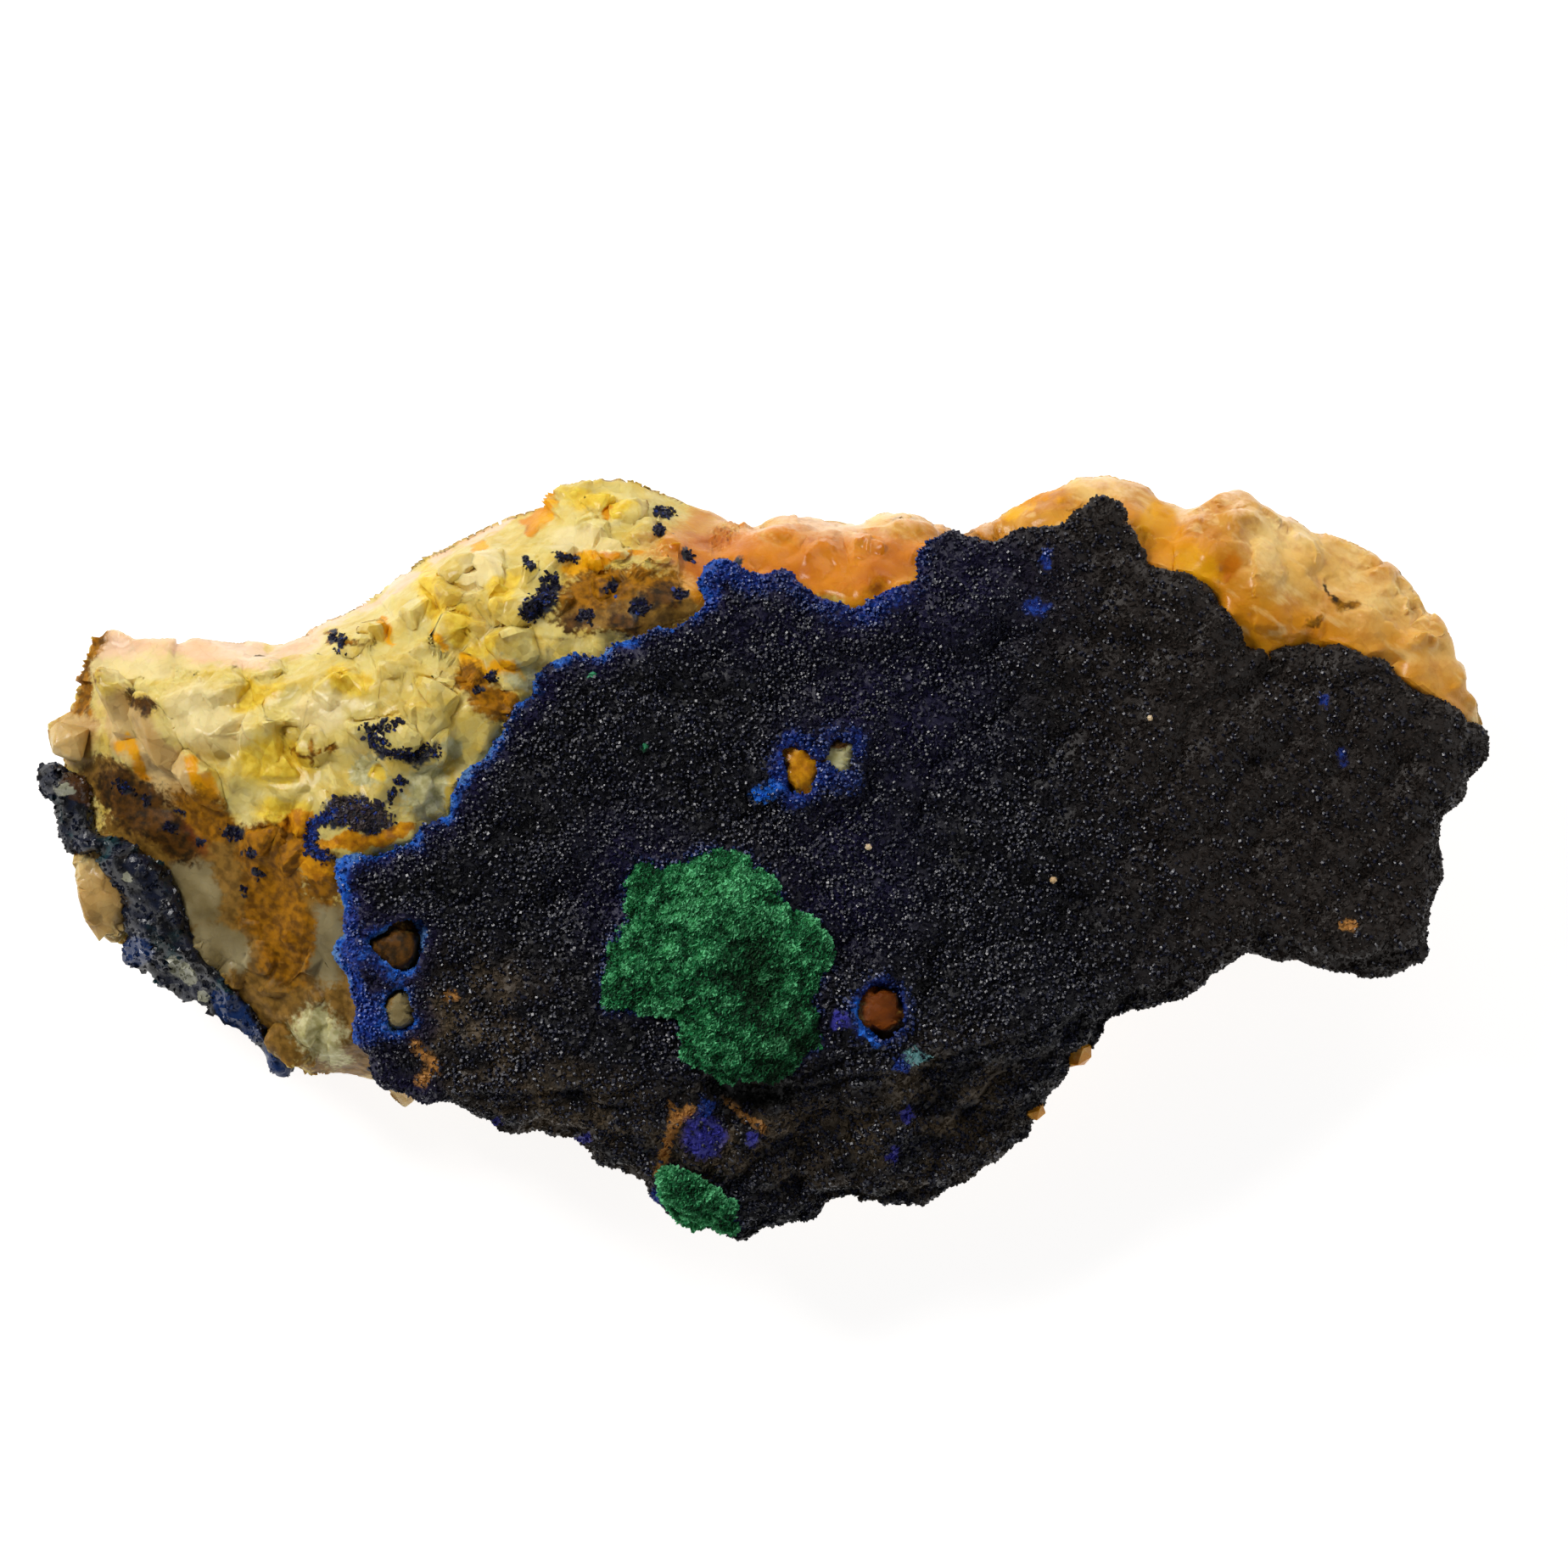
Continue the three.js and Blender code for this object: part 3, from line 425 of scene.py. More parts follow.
# Stains and minerals of the rock, by the trait that shows them
STAINS: dict[str, Marks] = {
    "earth": spots(
        (-38, -2, 9, 4.4, -28, 0.25), (-31, -8.5, 6.5, 6, 0, 0.25), (-27, -13, 5, 4.5, 0, 0.25),
        (-42.5, 3.4, 5.5, 2.2, -32, 0.25), (-9.6, 17.3, 5.4, 2.1, 4, 0.4),
    ),
    "yellow": spots(
        (-23.2, 18.2, 0.9, 2.2, 10), (-33.7, 6.5, 2.7, 1.5, -5), (-33.3, 3.2, 2, 1.1),
        (-17.6, 18.6, 0.6, 1.3, -20), (-26.6, 5.9, 0.5, 0.8), (-19.1, 14.4, 1.6, 0.7, 20),
        (-35.1, 11, 2, 0.8, 20), (-28.7, 12.2, 1.8, 0.9, -30), (-21.1, 16, 0.9, 1.6),
        (-11.5, 24.2, 2.4, 0.8, -8),
    ),
    "cream": spots(
        (-19.6, 19.4, 1.6, 1.5), (-12.4, 21.6, 2.6, 0.8, -10), (-30.6, 9.9, 1.8, 1.5),
        (23.3, 25.8, 1.4, 0.6), (-41.9, 13.4, 5.2, 1.1, 2), (-38.4, 9.4, 3.2, 2.4, -20),
        (-33.2, 0.4, 0.8, 1.4, 30),
    ) + strokes((((4.2, 7), (4.5, 6.1)), 0.3, 0.6), (((5.9, 6.6), (5.4, 5.9)), 0.4, 0.6)),
    "tan": spots(
        (-43.4, 8.6, 3.4, 1.6, -55), (-41.3, 5.8, 2.9, 1.7, -50), (-45.8, -2.7, 1.8, 3.6, 12),
        (44.4, 12.6, 6.4, 2.4, -48, 0.7), (38.6, 18.4, 4.5, 1.2, -38), (21.7, -13.3, 1.1, 0.6, 20),
        (19.1, -17, 0.4, 0.4), (45.1, -6.1, 0.6, 0.6), (-25.2, -16.1, 3, 0.9, -8), (-47.9, 8.4, 2, 2.3),
    ),
    "amber": spots(
        (2.8, 21.3, 11.1, 3.2), (19.2, 23.9, 8.8, 3.4, 12), (31.5, 18.6, 9.6, 6, -25),
        (40.5, 13.6, 9.5, 5, -42), (-2.4, 20.1, 4.5, 2.6), (8, 18.6, 3, 2.4), (43, 16.4, 5, 3, -45),
        (36, 21, 8.5, 4.4, -30),
    ),
    "orange": spots(
        (-11.1, 23.5, 0.5, 0.3), (-19.6, 21.3, 0.8, 0.35), (20.4, 24.3, 0.8, 0.4, 10),
        (18, 23.7, 2.1, 0.6, 18), (-12.4, 19.9, 1.6, 0.5),
    ) + strokes(
        (((-14.6, 24.9), (-15.1, 23.6), (-16.4, 22.7)), 0.5, 0.6),
        (((-26.4, 16.2), (-25.6, 14.9)), 0.3, 0.8), (((-22.9, 15.6), (-22.4, 14.6)), 0.25, 0.8),
        (((-20.6, 13.2), (-19.2, 12.4), (-17.2, 13.1)), 0.6, 0.6),
        (((-43.8, 7.6), (-42.6, 5.6)), 0.45, 0.8), (((26.4, 23), (28.6, 21), (30.2, 19.6)), 1, 0.9),
        (((-39.4, 6.3), (-38.2, 3.4)), 0.5, 0.8), (((-14.4, 21), (-12, 20.4), (-8.6, 20.9)), 0.3, 0.8),
    ),
    "rust": spots(
        (-33.6, -1.8, 2.3, 4.4, -8), (-32.9, -5.4, 1.9, 3.6, -5), (-38.6, 3, 2.6, 1.5, -40),
        (-33.4, 0.4, 3, 2, -10), (-30.2, -1.2, 1.2, 2), (-7.3, 22.2, 0.3, 0.3),
        (-11.6, 18.3, 2.8, 1.3, 0, 0.7), (-8.2, 18.9, 2.2, 0.7, 0, 0.8),
    ) + strokes(
        (((-20.2, 12.4), (-19.6, 11), (-18.2, 10.2)), 0.9, 0.6),
        (((38.8, 17.4), (39.6, 16.9), (40.8, 17.1)), 0.24, 0.9), (((37.2, 16), (38.3, 16.3)), 0.2, 0.9),
        (((-45.8, 15), (-46.8, 12.6), (-47, 10)), 0.6, 0.9),
        (((-32.4, 7), (-30.6, 7.2), (-29.6, 7.5)), 0.16, 0.9), (((-31.4, 7.9), (-31.2, 6.5)), 0.14, 0.9),
        (((-29.9, 15.1), (-28.2, 14.8)), 0.3, 0.8),
    ),
    "burnt": spots(
        (-3, 20.4, 3.6, 1.5, -4, 0.8), (3.4, 19.6, 5.6, 1.7, -4, 0.8), (8.9, 20.2, 3, 1.3, 10, 0.8),
        (32, 19.9, 0.9, 0.8, 0, 0.9),
    ),
    "grey": spots(
        (-39.4, -2.5, 2, 2.6, 10), (-37.4, -6.2, 2.1, 1.6, -30), (-30.2, -5.8, 1.8, 2.9),
        (-25.2, -10.6, 0.9, 1.6),
    ),
    "brown": spots(
        (-43.4, 3.6, 2.9, 1.9, -25, 0.7), (-7.2, 17.8, 1.5, 0.9, 10, 0.8),
        (-12.8, 16.4, 1.3, 0.7, 10, 0.8), (-9.6, 16.2, 1.2, 0.6, 10, 0.8), (-41.2, 1.2, 2.4, 1, -35, 0.8),
        (-25.4, -6.3, 1.9, 1.7), (5, 7.7, 0.8, 0.45, 0, 0.6), (-44.6, 4.8, 1.8, 1.3, -25, 0.7),
        (-41.8, 2.6, 1.8, 0.9, -35, 0.7),
    ) + strokes(
        (((38.3, 18.5), (38.6, 17.7), (39.2, 17.2)), 0.17, 0.9), (((-43.8, 11.2), (-42.6, 9.8)), 0.3, 0.9),
    ),
    "navy": spots(
        (-8.6, 17.2, 0.7, 0.6), (-7, 23.7, 0.7, 0.4), (-7.3, 22.5, 0.4, 0.35), (-16.3, 20.3, 0.25, 0.4),
        (-19.8, 11.5, 0.4, 0.3), (-18.8, 12.4, 0.4, 0.3), (-5.2, 20.7, 0.3, 0.4), (-2.4, 19.7, 0.7, 0.5),
        (-36.7, 1.6, 0.7, 0.5, -20), (-35.4, 0.2, 0.3, 0.23), (-34.9, -1.2, 0.35, 0.23),
        (-36, -2.3, 0.23, 0.23), (-38.9, 1, 0.23, 0.23), (-12.4, 16.6, 0.6, 0.5), (-5.9, 18.1, 0.5, 0.4),
        (-10.6, 18.4, 0.5, 0.3), (-44.3, 4.8, 0.6, 0.35, -20, 0.8), (-42.6, 3.9, 0.4, 0.25, 30, 0.8),
        (-41, 1.9, 0.4, 0.3, 0, 0.8), (-40.3, 3.1, 0.3, 0.2, 0, 0.8),
    ) + strokes(
        (((-14.7, 18.9), (-15.2, 17.7), (-16.2, 16.7)), 0.6, 0.6),
        (((-14.4, 20.8), (-13.2, 20.6)), 0.2, 0.8), (((-27.6, 9), (-26.4, 8.8), (-25, 9.3)), 0.2, 0.9),
        (((-27, 8.1), (-25.9, 7.4)), 0.35, 0.9), (((-25.3, 7.2), (-24, 6.9), (-22.6, 7.3)), 0.32, 0.9),
        (((-25, 5.4), (-25.8, 3.9)), 0.2, 0.9), (((-29.8, 15.1), (-29, 15), (-29.3, 14.2)), 0.22, 0.8),
    ) + (INCLUSION, TRIM),
    "gold": spots(
        (2.5, 6.1, 1.4, 1.8), (-29.7, 0.9, 0.6, 0.45), (-31.8, 2.2, 1.6, 1, -20, 0.6),
        (-30.7, -0.2, 1, 1.3, 0, 0.6),
    ) + strokes((((-29, 1.1), (-26.6, 1.3), (-24.6, 1.9)), 0.5, 0.6)),
    # Pale pink along the top rim: partly the rock's own tint, partly a painted rim highlight
    "blush_and_highlight": strokes(
        (((-45, 14.6), (-41, 14.6), (-36, 13.9), (-31.5, 15.1)), 1.1, 0.7),
        (((-31.5, 15.4), (-26, 18), (-21, 21.6), (-15.2, 24.6)), 0.3, 0.9),
    ),
    "glassy": spots(
        (-30.6, -12.3, 1.7, 2.3, 40, 0.6), (-23.2, 4.6, 1.6, 2.2, 0, 0.5), (-17.1, 12.8, 1.4, 1, 0, 0.5),
        (-27.2, 6, 1.2, 1.3, 0, 0.5), (-21.3, 7.6, 0.8, 0.8, 0, 0.5), (5, 6.9, 1.4, 1.8),
    ),
    "ember": spots(
        (7.9, -10.5, 1.8, 2.1), (-25.4, -6.3, 1.6, 1.4, 0, 0.8), (-40.4, 1.6, 2.2, 0.9, -35, 0.8),
    ),
    "milky": spots(
        (37, 20.4, 4.6, 2.6, -30, 0.9), (28.5, 24, 2, 1.2, 0, 0.9), (22.6, 25.4, 3, 1, 0, 0.9),
        (43.6, 14.6, 5, 2.4, -50, 0.9), (7.6, 22.6, 2.6, 0.9, 0, 0.9), (-1.5, 22.2, 2.4, 0.7, 0, 0.9),
    ),
}
# Where the rock broke into grains, where it is waxy and where it swells
GRANULAR = spots(
    (-28, 9, 11, 8, 20), (-19, 18, 8, 5, 30), (-10, 22, 6, 3.5), (-31, -12, 3, 2.4, -40),
)
WAXY = spots(
    (-39.5, 14.4, 8, 2.2), (27, 21, 12, 9, -20), (43, 13, 10, 8, -40), (18, 24, 8, 5, 15),
    (3, 22, 10, 4.2), (-45.8, -2.7, 2, 4, 12),
)
LUMP = spots((-45.8, -2.7, 2, 4, 12, 0.8), (-34.8, -10.8, 1.2, 2.4, 45, 0.8))
# Where the rock fills the windows of the crust
KNOBS = spots((8, -10.6, 1.55, 1.9, 0, 0.25), (-25.4, -6.3, 1.7, 1.5), (-25.2, -10.6, 0.9, 1.5))
LOW_KNOBS = spots((2.3, 6, 1.3, 1.8), (5, 6.8, 1.3, 1.7))
# Where the crust stands back from them, and how much further out than they reach that is
MOUTH_MARGIN = 0.8
MOUTHS = tuple(
    Spot(knob.x, knob.y, knob.long + MOUTH_MARGIN, knob.wide + MOUTH_MARGIN) for knob in KNOBS + LOW_KNOBS
)
# The blue surroundings of the windows
WINDOWS = spots((2.5, 6.1, 3, 3.4), (5.6, 6.9, 2.8, 3.2), (8, -10.6, 3.2, 3.6))
# Where the crust's free edge reaches further out
LOBES = spots((6.3, 16.6, 2, 1.4), (34.9, 13.2, 1.6, 1.5), (23.9, 23.5, 1.2, 0.9))
# Colours of the crust with ragged edges, by the trait that shows them
CRUST: dict[str, Marks] = {
    "cobalt": spots(
        (-27.2, -11.4, 0.9, 1.5, 0, 0.7), (19.6, 20.2, 0.4, 0.7, -10), (9.5, -14.4, 0.5, 0.5),
        (39.6, 6.9, 0.35, 0.6, -10), (38.5, 10.8, 0.35, 0.4), (-4.1, -17.2, 0.6, 0.6),
        (-7.4, -23.4, 0.4, 0.6, 40), (18.7, 17.2, 0.8, 0.5, 0, 0.9),
    ) + strokes((((-28.6, -3), (-28.8, -7), (-27.7, -9.8)), 0.5, 0.9)),
    "azure": spots((0.1, 4.4, 1.3, 0.7, 20)) + strokes(
        (((-30.1, -0.2), (-29.4, -0.8), (-28.9, -2.6)), 0.6, 0.7),
        (((6.4, -10.2), (6.7, -11.9), (7.8, -12.9)), 0.42, 0.7),
    ),
    "cyan": spots((10.6, -13.7, 0.9, 0.6, 5)),
    "violet": spots(
        (-4.3, -19.1, 1.6, 1.6, 20, 0.5), (9.7, -17.8, 0.5, 0.5), (9, -20.7, 0.4, 0.7),
        (5.2, -11.3, 0.8, 0.8), (-12.4, -19.5, 0.5, 0.4), (-18.4, -18.1, 0.5, 0.4),
        (-0.8, -19.5, 0.5, 0.5),
    ),
    "dusk": spots(
        (3.4, 17.2, 9.8, 3.4, 0, 0.8), (-9.4, -2, 3.5, 4.5, 0, 0.8), (5.9, -0.8, 4.2, 5, 0, 0.9),
        (11.6, 18.4, 7, 4, 0, 0.8), (8.6, 10, 6, 5, 0, 0.9),
    ),
    "earthy": spots(
        (-20, -11.6, 4.4, 4, -20, 0.9), (-13, -17.4, 6, 2.6, -14, 0.9), (-2, -19.4, 8, 3.2, 6, 0.9),
        (10, -18.6, 7, 4, 20, 0.9),
    ),
    "green": spots((-8.3, 7.7, 0.26, 0.24), (-11.7, 12.4, 0.26, 0.2)),
}
# The tan dust on it, and the dip under the edge of the malachite, whose near-black colour is painted shadow
DUSTING = spots((40.1, -4.8, 0.8, 0.5), (-21.6, -9.6, 0.7, 0.5, 0, 0.9)) + strokes(
    (((-7.3, -21.9), (-6.6, -19.4), (-6.2, -18.2), (-5.2, -17.4)), 0.44, 0.4),
    (((-6.4, -18.4), (-6.4, -17)), 0.34, 0.5),
    (((-2.9, -16.4), (-1.6, -17.7), (-0.2, -18.6)), 0.35, 0.8),
    (((-24, -13), (-22.6, -14.4), (-23.6, -15.4)), 0.5, 0.9),
)
SHADOWED_PIT = strokes((((-3.2, -16), (-0.6, -16.4), (1.4, -16.3)), 0.8, 0.5))
# Where the crust steps down into its lower flank, from left to right, in mm
LEDGE: tuple[tuple[float, float], ...] = (
    (-24, -17.5), (-19.9, -16.1), (-12.2, -16.2), (-8.4, -15.2), (-4.4, -15.5), (0, -16.4),
    (5.8, -15.3), (13.4, -13.2), (20.4, -11.2), (28, -8.5), (46, -6),
)


class Socket:
    """A number in a shader, with arithmetic that adds Math nodes."""

    def __init__(self, shader: Shader, link: bpy.types.NodeSocket) -> None:
        """Wraps the socket that gives the number."""
        self.shader = shader
        self.link = link

    def _math(self, operation: str, *terms: Number) -> Socket:
        """Adds a Math node.

        Args:
            operation: The node's operation.
            terms: Its inputs, in order.

        Returns:
            The node's result.
        """
        return self.shader.number("ShaderNodeMath", {"operation": operation}, dict(enumerate(terms)))

    def __add__(self, other: Number) -> Socket:
        """Adds."""
        return self._math("ADD", self, other)

    __radd__ = __add__

    def __sub__(self, other: Number) -> Socket:
        """Takes other from this."""
        return self._math("SUBTRACT", self, other)

    def __rsub__(self, other: Number) -> Socket:
        """Takes this from other."""
        return self._math("SUBTRACT", other, self)

    def __mul__(self, other: Number) -> Socket:
        """Multiplies."""
        return self._math("MULTIPLY", self, other)

    __rmul__ = __mul__

    def eased(self, low: float, high: float) -> Socket:
        """Eases from 0 at low to 1 at high.

        Args:
            low: Where it leaves 0.
            high: Where it reaches 1.

        Returns:
            The eased number.
        """
        settings = {"interpolation_type": "SMOOTHSTEP"}
        inputs = {"Value": self, "From Min": low, "From Max": high}
        return self.shader.number("ShaderNodeMapRange", settings, inputs)


Number = Socket | float | int


class Wiring:
    """A node tree to which nodes are added."""

    def __init__(self, tree: bpy.types.NodeTree) -> None:
        """Takes the tree."""
        self.tree = tree

    def node(self, kind: str, settings: dict | None = None, inputs: dict | None = None) -> bpy.types.Node:
        """Adds a node.

        Args:
            kind: The node's type.
            settings: Its properties, set first.
            inputs: Values or links of its sockets, by name or number.

        Returns:
            The node.
        """
        made = self.tree.nodes.new(kind)
        for name, value in (settings or {}).items():
            setattr(made, name, value)
        for name, value in (inputs or {}).items():
            self.plug(made.inputs[name], value)
        return made

    def plug(self, socket: bpy.types.NodeSocket, value: object) -> None:
        """Links a socket, or sets its value.

        Args:
            socket: The socket.
            value: A number or link of the shader, or a plain value.
        """
        if isinstance(value, Socket):
            value = value.link
        if isinstance(value, bpy.types.NodeSocket):
            self.tree.links.new(value, socket)
        elif socket.type == "RGBA":
            socket.default_value = (*value, 1)
        else:
            socket.default_value = value


class Shader(Wiring):
    """A material's node tree, built by calls that read like sums."""

    def __init__(self, name: str) -> None:
        """Starts an empty material."""
        self.material = bpy.data.materials.new(name)
        self.material.use_nodes = True
        super().__init__(self.material.node_tree)
        self.tree.nodes.clear()
        self.place = self.node("ShaderNodeTexCoord").outputs["Object"]

    def number(self, kind: str, settings: dict | None = None, inputs: dict | None = None) -> Socket:
        """Adds a node whose first output is a number, and wraps it."""
        return Socket(self, self.node(kind, settings, inputs).outputs[0])

    def trait(self, name: str) -> Socket:
        """A number that the mesh stores on its points."""
        made = self.node("ShaderNodeAttribute", {"attribute_name": name})
        return Socket(self, made.outputs["Fac"])

    def noise(self, size: float, detail: float = 3, vector: object = None) -> Socket:
        """Noise over the surface.

        Args:
            size: Size of its lumps, in mm.
            detail: How many finer layers it has.
            vector: Where it is read, or None for the place on the specimen.

        Returns:
            Values from 0 to 1.
        """
        inputs = {"Vector": vector or self.place, "Scale": 1 / (size * MM), "Detail": detail}
        return self.number("ShaderNodeTexNoise", None, inputs)

    def grains(self, size: float) -> bpy.types.Node:
        """Grains over the surface.

        Args:
            size: Size of a grain, in mm.

        Returns:
            The Voronoi node, whose Color is one for each grain.
        """
        return self.node("ShaderNodeTexVoronoi", None, {"Vector": self.place, "Scale": 1 / (size * MM)})

    def facets(self, size: float) -> Socket:
        """Small flat faces, each tilted its own way.

        Args:
            size: Size of a face, in mm.

        Returns:
            Heights as shares of the size, from about -0.5 to 0.5.
        """
        cells = self.grains(size).outputs
        away = self.vector("SUBTRACT", self.place, cells["Position"]).outputs[0]
        tilt = self.vector("SUBTRACT", cells["Color"], (0.5, 0.5, 0.5)).outputs[0]
        height = self.vector("DOT_PRODUCT", away, tilt).outputs["Value"]
        return Socket(self, height) * (1 / (size * MM))

    def vector(self, operation: str, first: object, second: object) -> bpy.types.Node:
        """Adds a Vector Math node.

        Args:
            operation: The node's operation.
            first: Its first vector.
            second: Its second vector.

        Returns:
            The node.
        """
        return self.node("ShaderNodeVectorMath", {"operation": operation}, {0: first, 1: second})

    def stretched(self, turn: float, along: float) -> bpy.types.NodeSocket:
        """The place on the specimen, drawn out so that noise read there runs in streaks.

        Args:
            turn: Direction of the streaks from +X, in degrees.
            along: How many times longer than wide they are.

        Returns:
            The vector.
        """
        settings = {"vector_type": "TEXTURE"}
        rotation = (0, 0, math.radians(turn))
        inputs = {"Vector": self.place, "Rotation": rotation, "Scale": (along, 1, 1)}
        return self.node("ShaderNodeMapping", settings, inputs).outputs[0]

    def mixed(self, under: object, over: object, share: Number) -> bpy.types.NodeSocket:
        """Mixes two colours.

        Args:
            under: The colour at share 0.
            over: The colour at share 1.
            share: How much of the second colour.

        Returns:
            The mixed colour.
        """
        made = self.node("ShaderNodeMix", {"data_type": "RGBA"}, {0: share, 6: under, 7: over})
        return made.outputs[2]

    def layered(self, colour: object, layers: Iterable[tuple[object, Number]]) -> object:
        """Lays colours over one another.

        Args:
            colour: The lowest colour.
            layers: Each further colour with its share, from the lowest up.

        Returns:
            The mixed colour.
        """
        for over, share in layers:
            colour = self.mixed(colour, over, share)
        return colour

    def bump(self, height: Socket, depth: float, under: object = None) -> bpy.types.NodeSocket:
        """Fine relief.

        Args:
            height: The relief, from 0 to 1.
            depth: Its depth, in mm.
            under: Coarser relief that it lies on, or None.

        Returns:
            The normal.
        """
        inputs = {"Height": height, "Distance": depth * MM}
        if under is not None:
            inputs["Normal"] = under
        return self.node("ShaderNodeBump", None, inputs).outputs[0]

    def surface(self, inputs: dict) -> bpy.types.Material:
        """Ends the tree in a Principled surface.

        Args:
            inputs: Values or links of the surface, by name.

        Returns:
            The finished material.
        """
        made = self.node("ShaderNodeBsdfPrincipled", None, inputs)
        self.node("ShaderNodeOutputMaterial", None, {"Surface": made.outputs[0]})
        return self.material


@dataclass(frozen=True)
class Stain:
    """A colour of the rock that shows where a trait of its mesh is strong.

    Attributes:
        trait: Name of the trait.
        light: The stain's lighter colour.
        deep: Its deeper colour.
        ragged: How far fine noise moves its edge.
        soft: Reach of the trait's values over which it fades in.
        slow: Whether its tones change slowly over the surface.
    """

    trait: str
    light: Colour
    deep: Colour
    ragged: float = 0.7
    soft: float = 0.2
    slow: bool = False


@dataclass(frozen=True)
class QuartzFinish:
    """Glassy granular quartz with iron stains."""

    pale: Colour = tint(220, 200, 116)
    honey: Colour = tint(212, 180, 72)
    milk: Colour = tint(228, 214, 154)
    # Deeper yellow painted as shade in the recesses between crystals
    hollow_shade: Colour = tint(198, 162, 58)
    glow: Colour = tint(222, 146, 16)
    burnt: Colour = tint(186, 104, 18)
    # Pale colour of the highlight streaks painted on the amber
    streak_highlight: Colour = tint(244, 212, 142)
    underside: Colour = tint(168, 130, 80)
    first: tuple[Stain, ...] = (
        Stain("earth", tint(150, 112, 46), tint(108, 78, 28), 0.5),
        Stain("cream", tint(234, 216, 156), tint(222, 198, 126), 0.3, 0.4, True),
        Stain("glassy", tint(214, 208, 160), tint(178, 170, 112), 0.5, 0.3),
        Stain("grey", tint(166, 152, 112), tint(118, 102, 62), 0.4, 0.3, True),
        Stain("tan", tint(214, 184, 122), tint(190, 150, 84), 0.3, 0.4, True),
        Stain("amber", tint(212, 150, 42), tint(192, 120, 18), 0.2, 0.3, True),
        Stain("milky", tint(240, 204, 128), tint(226, 176, 86), 0.2, 0.5, True),
        # Pale pink, partly the rock's tint and partly a painted rim highlight; the pale grains take it as
        # their own colour
        Stain("blush_and_highlight", tint(244, 212, 176), tint(234, 190, 144), 0.3, 0.4, True),
    )
    last: tuple[Stain, ...] = (
        Stain("yellow", tint(236, 206, 72), tint(220, 180, 40), 0.3, 0.45),
        Stain("burnt", tint(216, 132, 4), tint(186, 98, 0), 0.4, 0.4, True),
        Stain("orange", tint(236, 174, 14), tint(214, 138, 0), 0.35, 0.35, True),
        Stain("rust", tint(174, 116, 12), tint(110, 70, 8), 0.5, 0.35),
        Stain("ember", tint(158, 82, 20), tint(100, 48, 10), 0.4, 0.4, True),
        Stain("brown", tint(100, 64, 20), tint(48, 34, 16), 0.5, 0.3),
        Stain("gold", tint(228, 158, 18), tint(182, 114, 8), 0.4),
        Stain("navy", tint(58, 62, 72), tint(22, 22, 28), 0.6, 0.35),
    )

    def material(self) -> bpy.types.Material:
        """Builds the material.

        Returns:
            The material.
        """
        shader = Shader("granular_quartz")
        fine = shader.noise(0.34, 5).eased(0.25, 0.75)
        cloud = shader.noise(2.6, 4).eased(0.3, 0.7)
        veil = shader.noise(1.1, 5).eased(0.45, 0.7)
        shard = Socket(shader, shader.grains(1.5).outputs["Color"])
        chip = Socket(shader, shader.grains(0.6).outputs["Color"])
        dull = shader.trait("rust") + shader.trait("brown") + shader.trait("ember")
        dull = dull + shader.trait("earth") * 0.6 + shader.trait("orange") * 0.5 + shader.trait("under") * 0.7
        tone = cloud * 0.45 + shader.trait("crystal") * 0.2 + shard * 0.45 + (chip - 0.5) * 0.25
        colour = shader.layered(self.pale, (
            (self.honey, tone.eased(0.25, 0.95)),
            (self.milk, veil * (0.1 + chip * 0.6)),
            # Painted shade: recesses between the crystals take the deeper yellow
            (self.hollow_shade, shader.trait("hollow_shade") * 0.5),
            (self.underside, shader.trait("under") * 0.85),
        ))
        colour = self._stained(shader, colour, self.first, fine)
        amber = shader.trait("amber").eased(0.2, 0.8)
        freckle = shader.noise(1.4, 6).eased(0.5, 0.72) * amber
        # Pale stretched streaks on the amber, painted as highlights
        painted_gleam = shader.noise(1.1, 4, shader.stretched(-35, 3)).eased(0.56, 0.7) * amber
        colour = shader.layered(colour, (
            (self.glow, shader.trait("near") * amber * (0.6 + cloud * 0.4)),
            (self.burnt, freckle * 0.4),
            (self.streak_highlight, painted_gleam * 0.45),
        ))
        colour = self._stained(shader, colour, self.last, fine)
        glass = 1 - dull.eased(0.1, 0.7)
        broken = glass * (1 - amber * 0.5)
        relief = shader.bump(shader.facets(2.1) * broken, 0.8)
        relief = shader.bump(shader.facets(0.8) * (broken * 0.7 + dull.eased(0.2, 0.9) * 0.4), 0.5, relief)
        return shader.surface({
            "Base Color": colour,
            "Roughness": 0.4 + fine * 0.2,
            "Normal": shader.bump(fine, 0.02, relief),
            "IOR": 1.5,
            "Specular IOR Level": 0.12,
            "Coat Weight": glass * 0.4,
            "Coat Roughness": 0.2,
            "Coat IOR": 1.45,
            "Subsurface Weight": 0.45,
            "Subsurface Radius": (1.0, 0.75, 0.4),
            "Subsurface Scale": 0.8 * MM,
        })

    @staticmethod
    def _stained(shader: Shader, colour: object, stains: tuple[Stain, ...], fine: Socket) -> object:
        """Lays stains over a colour.

        Args:
            shader: The material being built.
            colour: The colour under them.
            stains: The stains, from the lowest up.
            fine: Noise that breaks up their edges.

        Returns:
            The stained colour.
        """
        mottle = shader.noise(0.6, 6).eased(0.34, 0.66)
        cloud = shader.noise(4, 2).eased(0.3, 0.7)
        for stain in stains:
            share = shader.trait(stain.trait)
            edge = share + (fine - 0.5) * stain.ragged * share.eased(0, 0.2)
            tone = shader.mixed(stain.light, stain.deep, cloud if stain.slow else mottle)
            colour = shader.mixed(colour, tone, edge.eased(0.5 - stain.soft, 0.5 + stain.soft))
        return colour


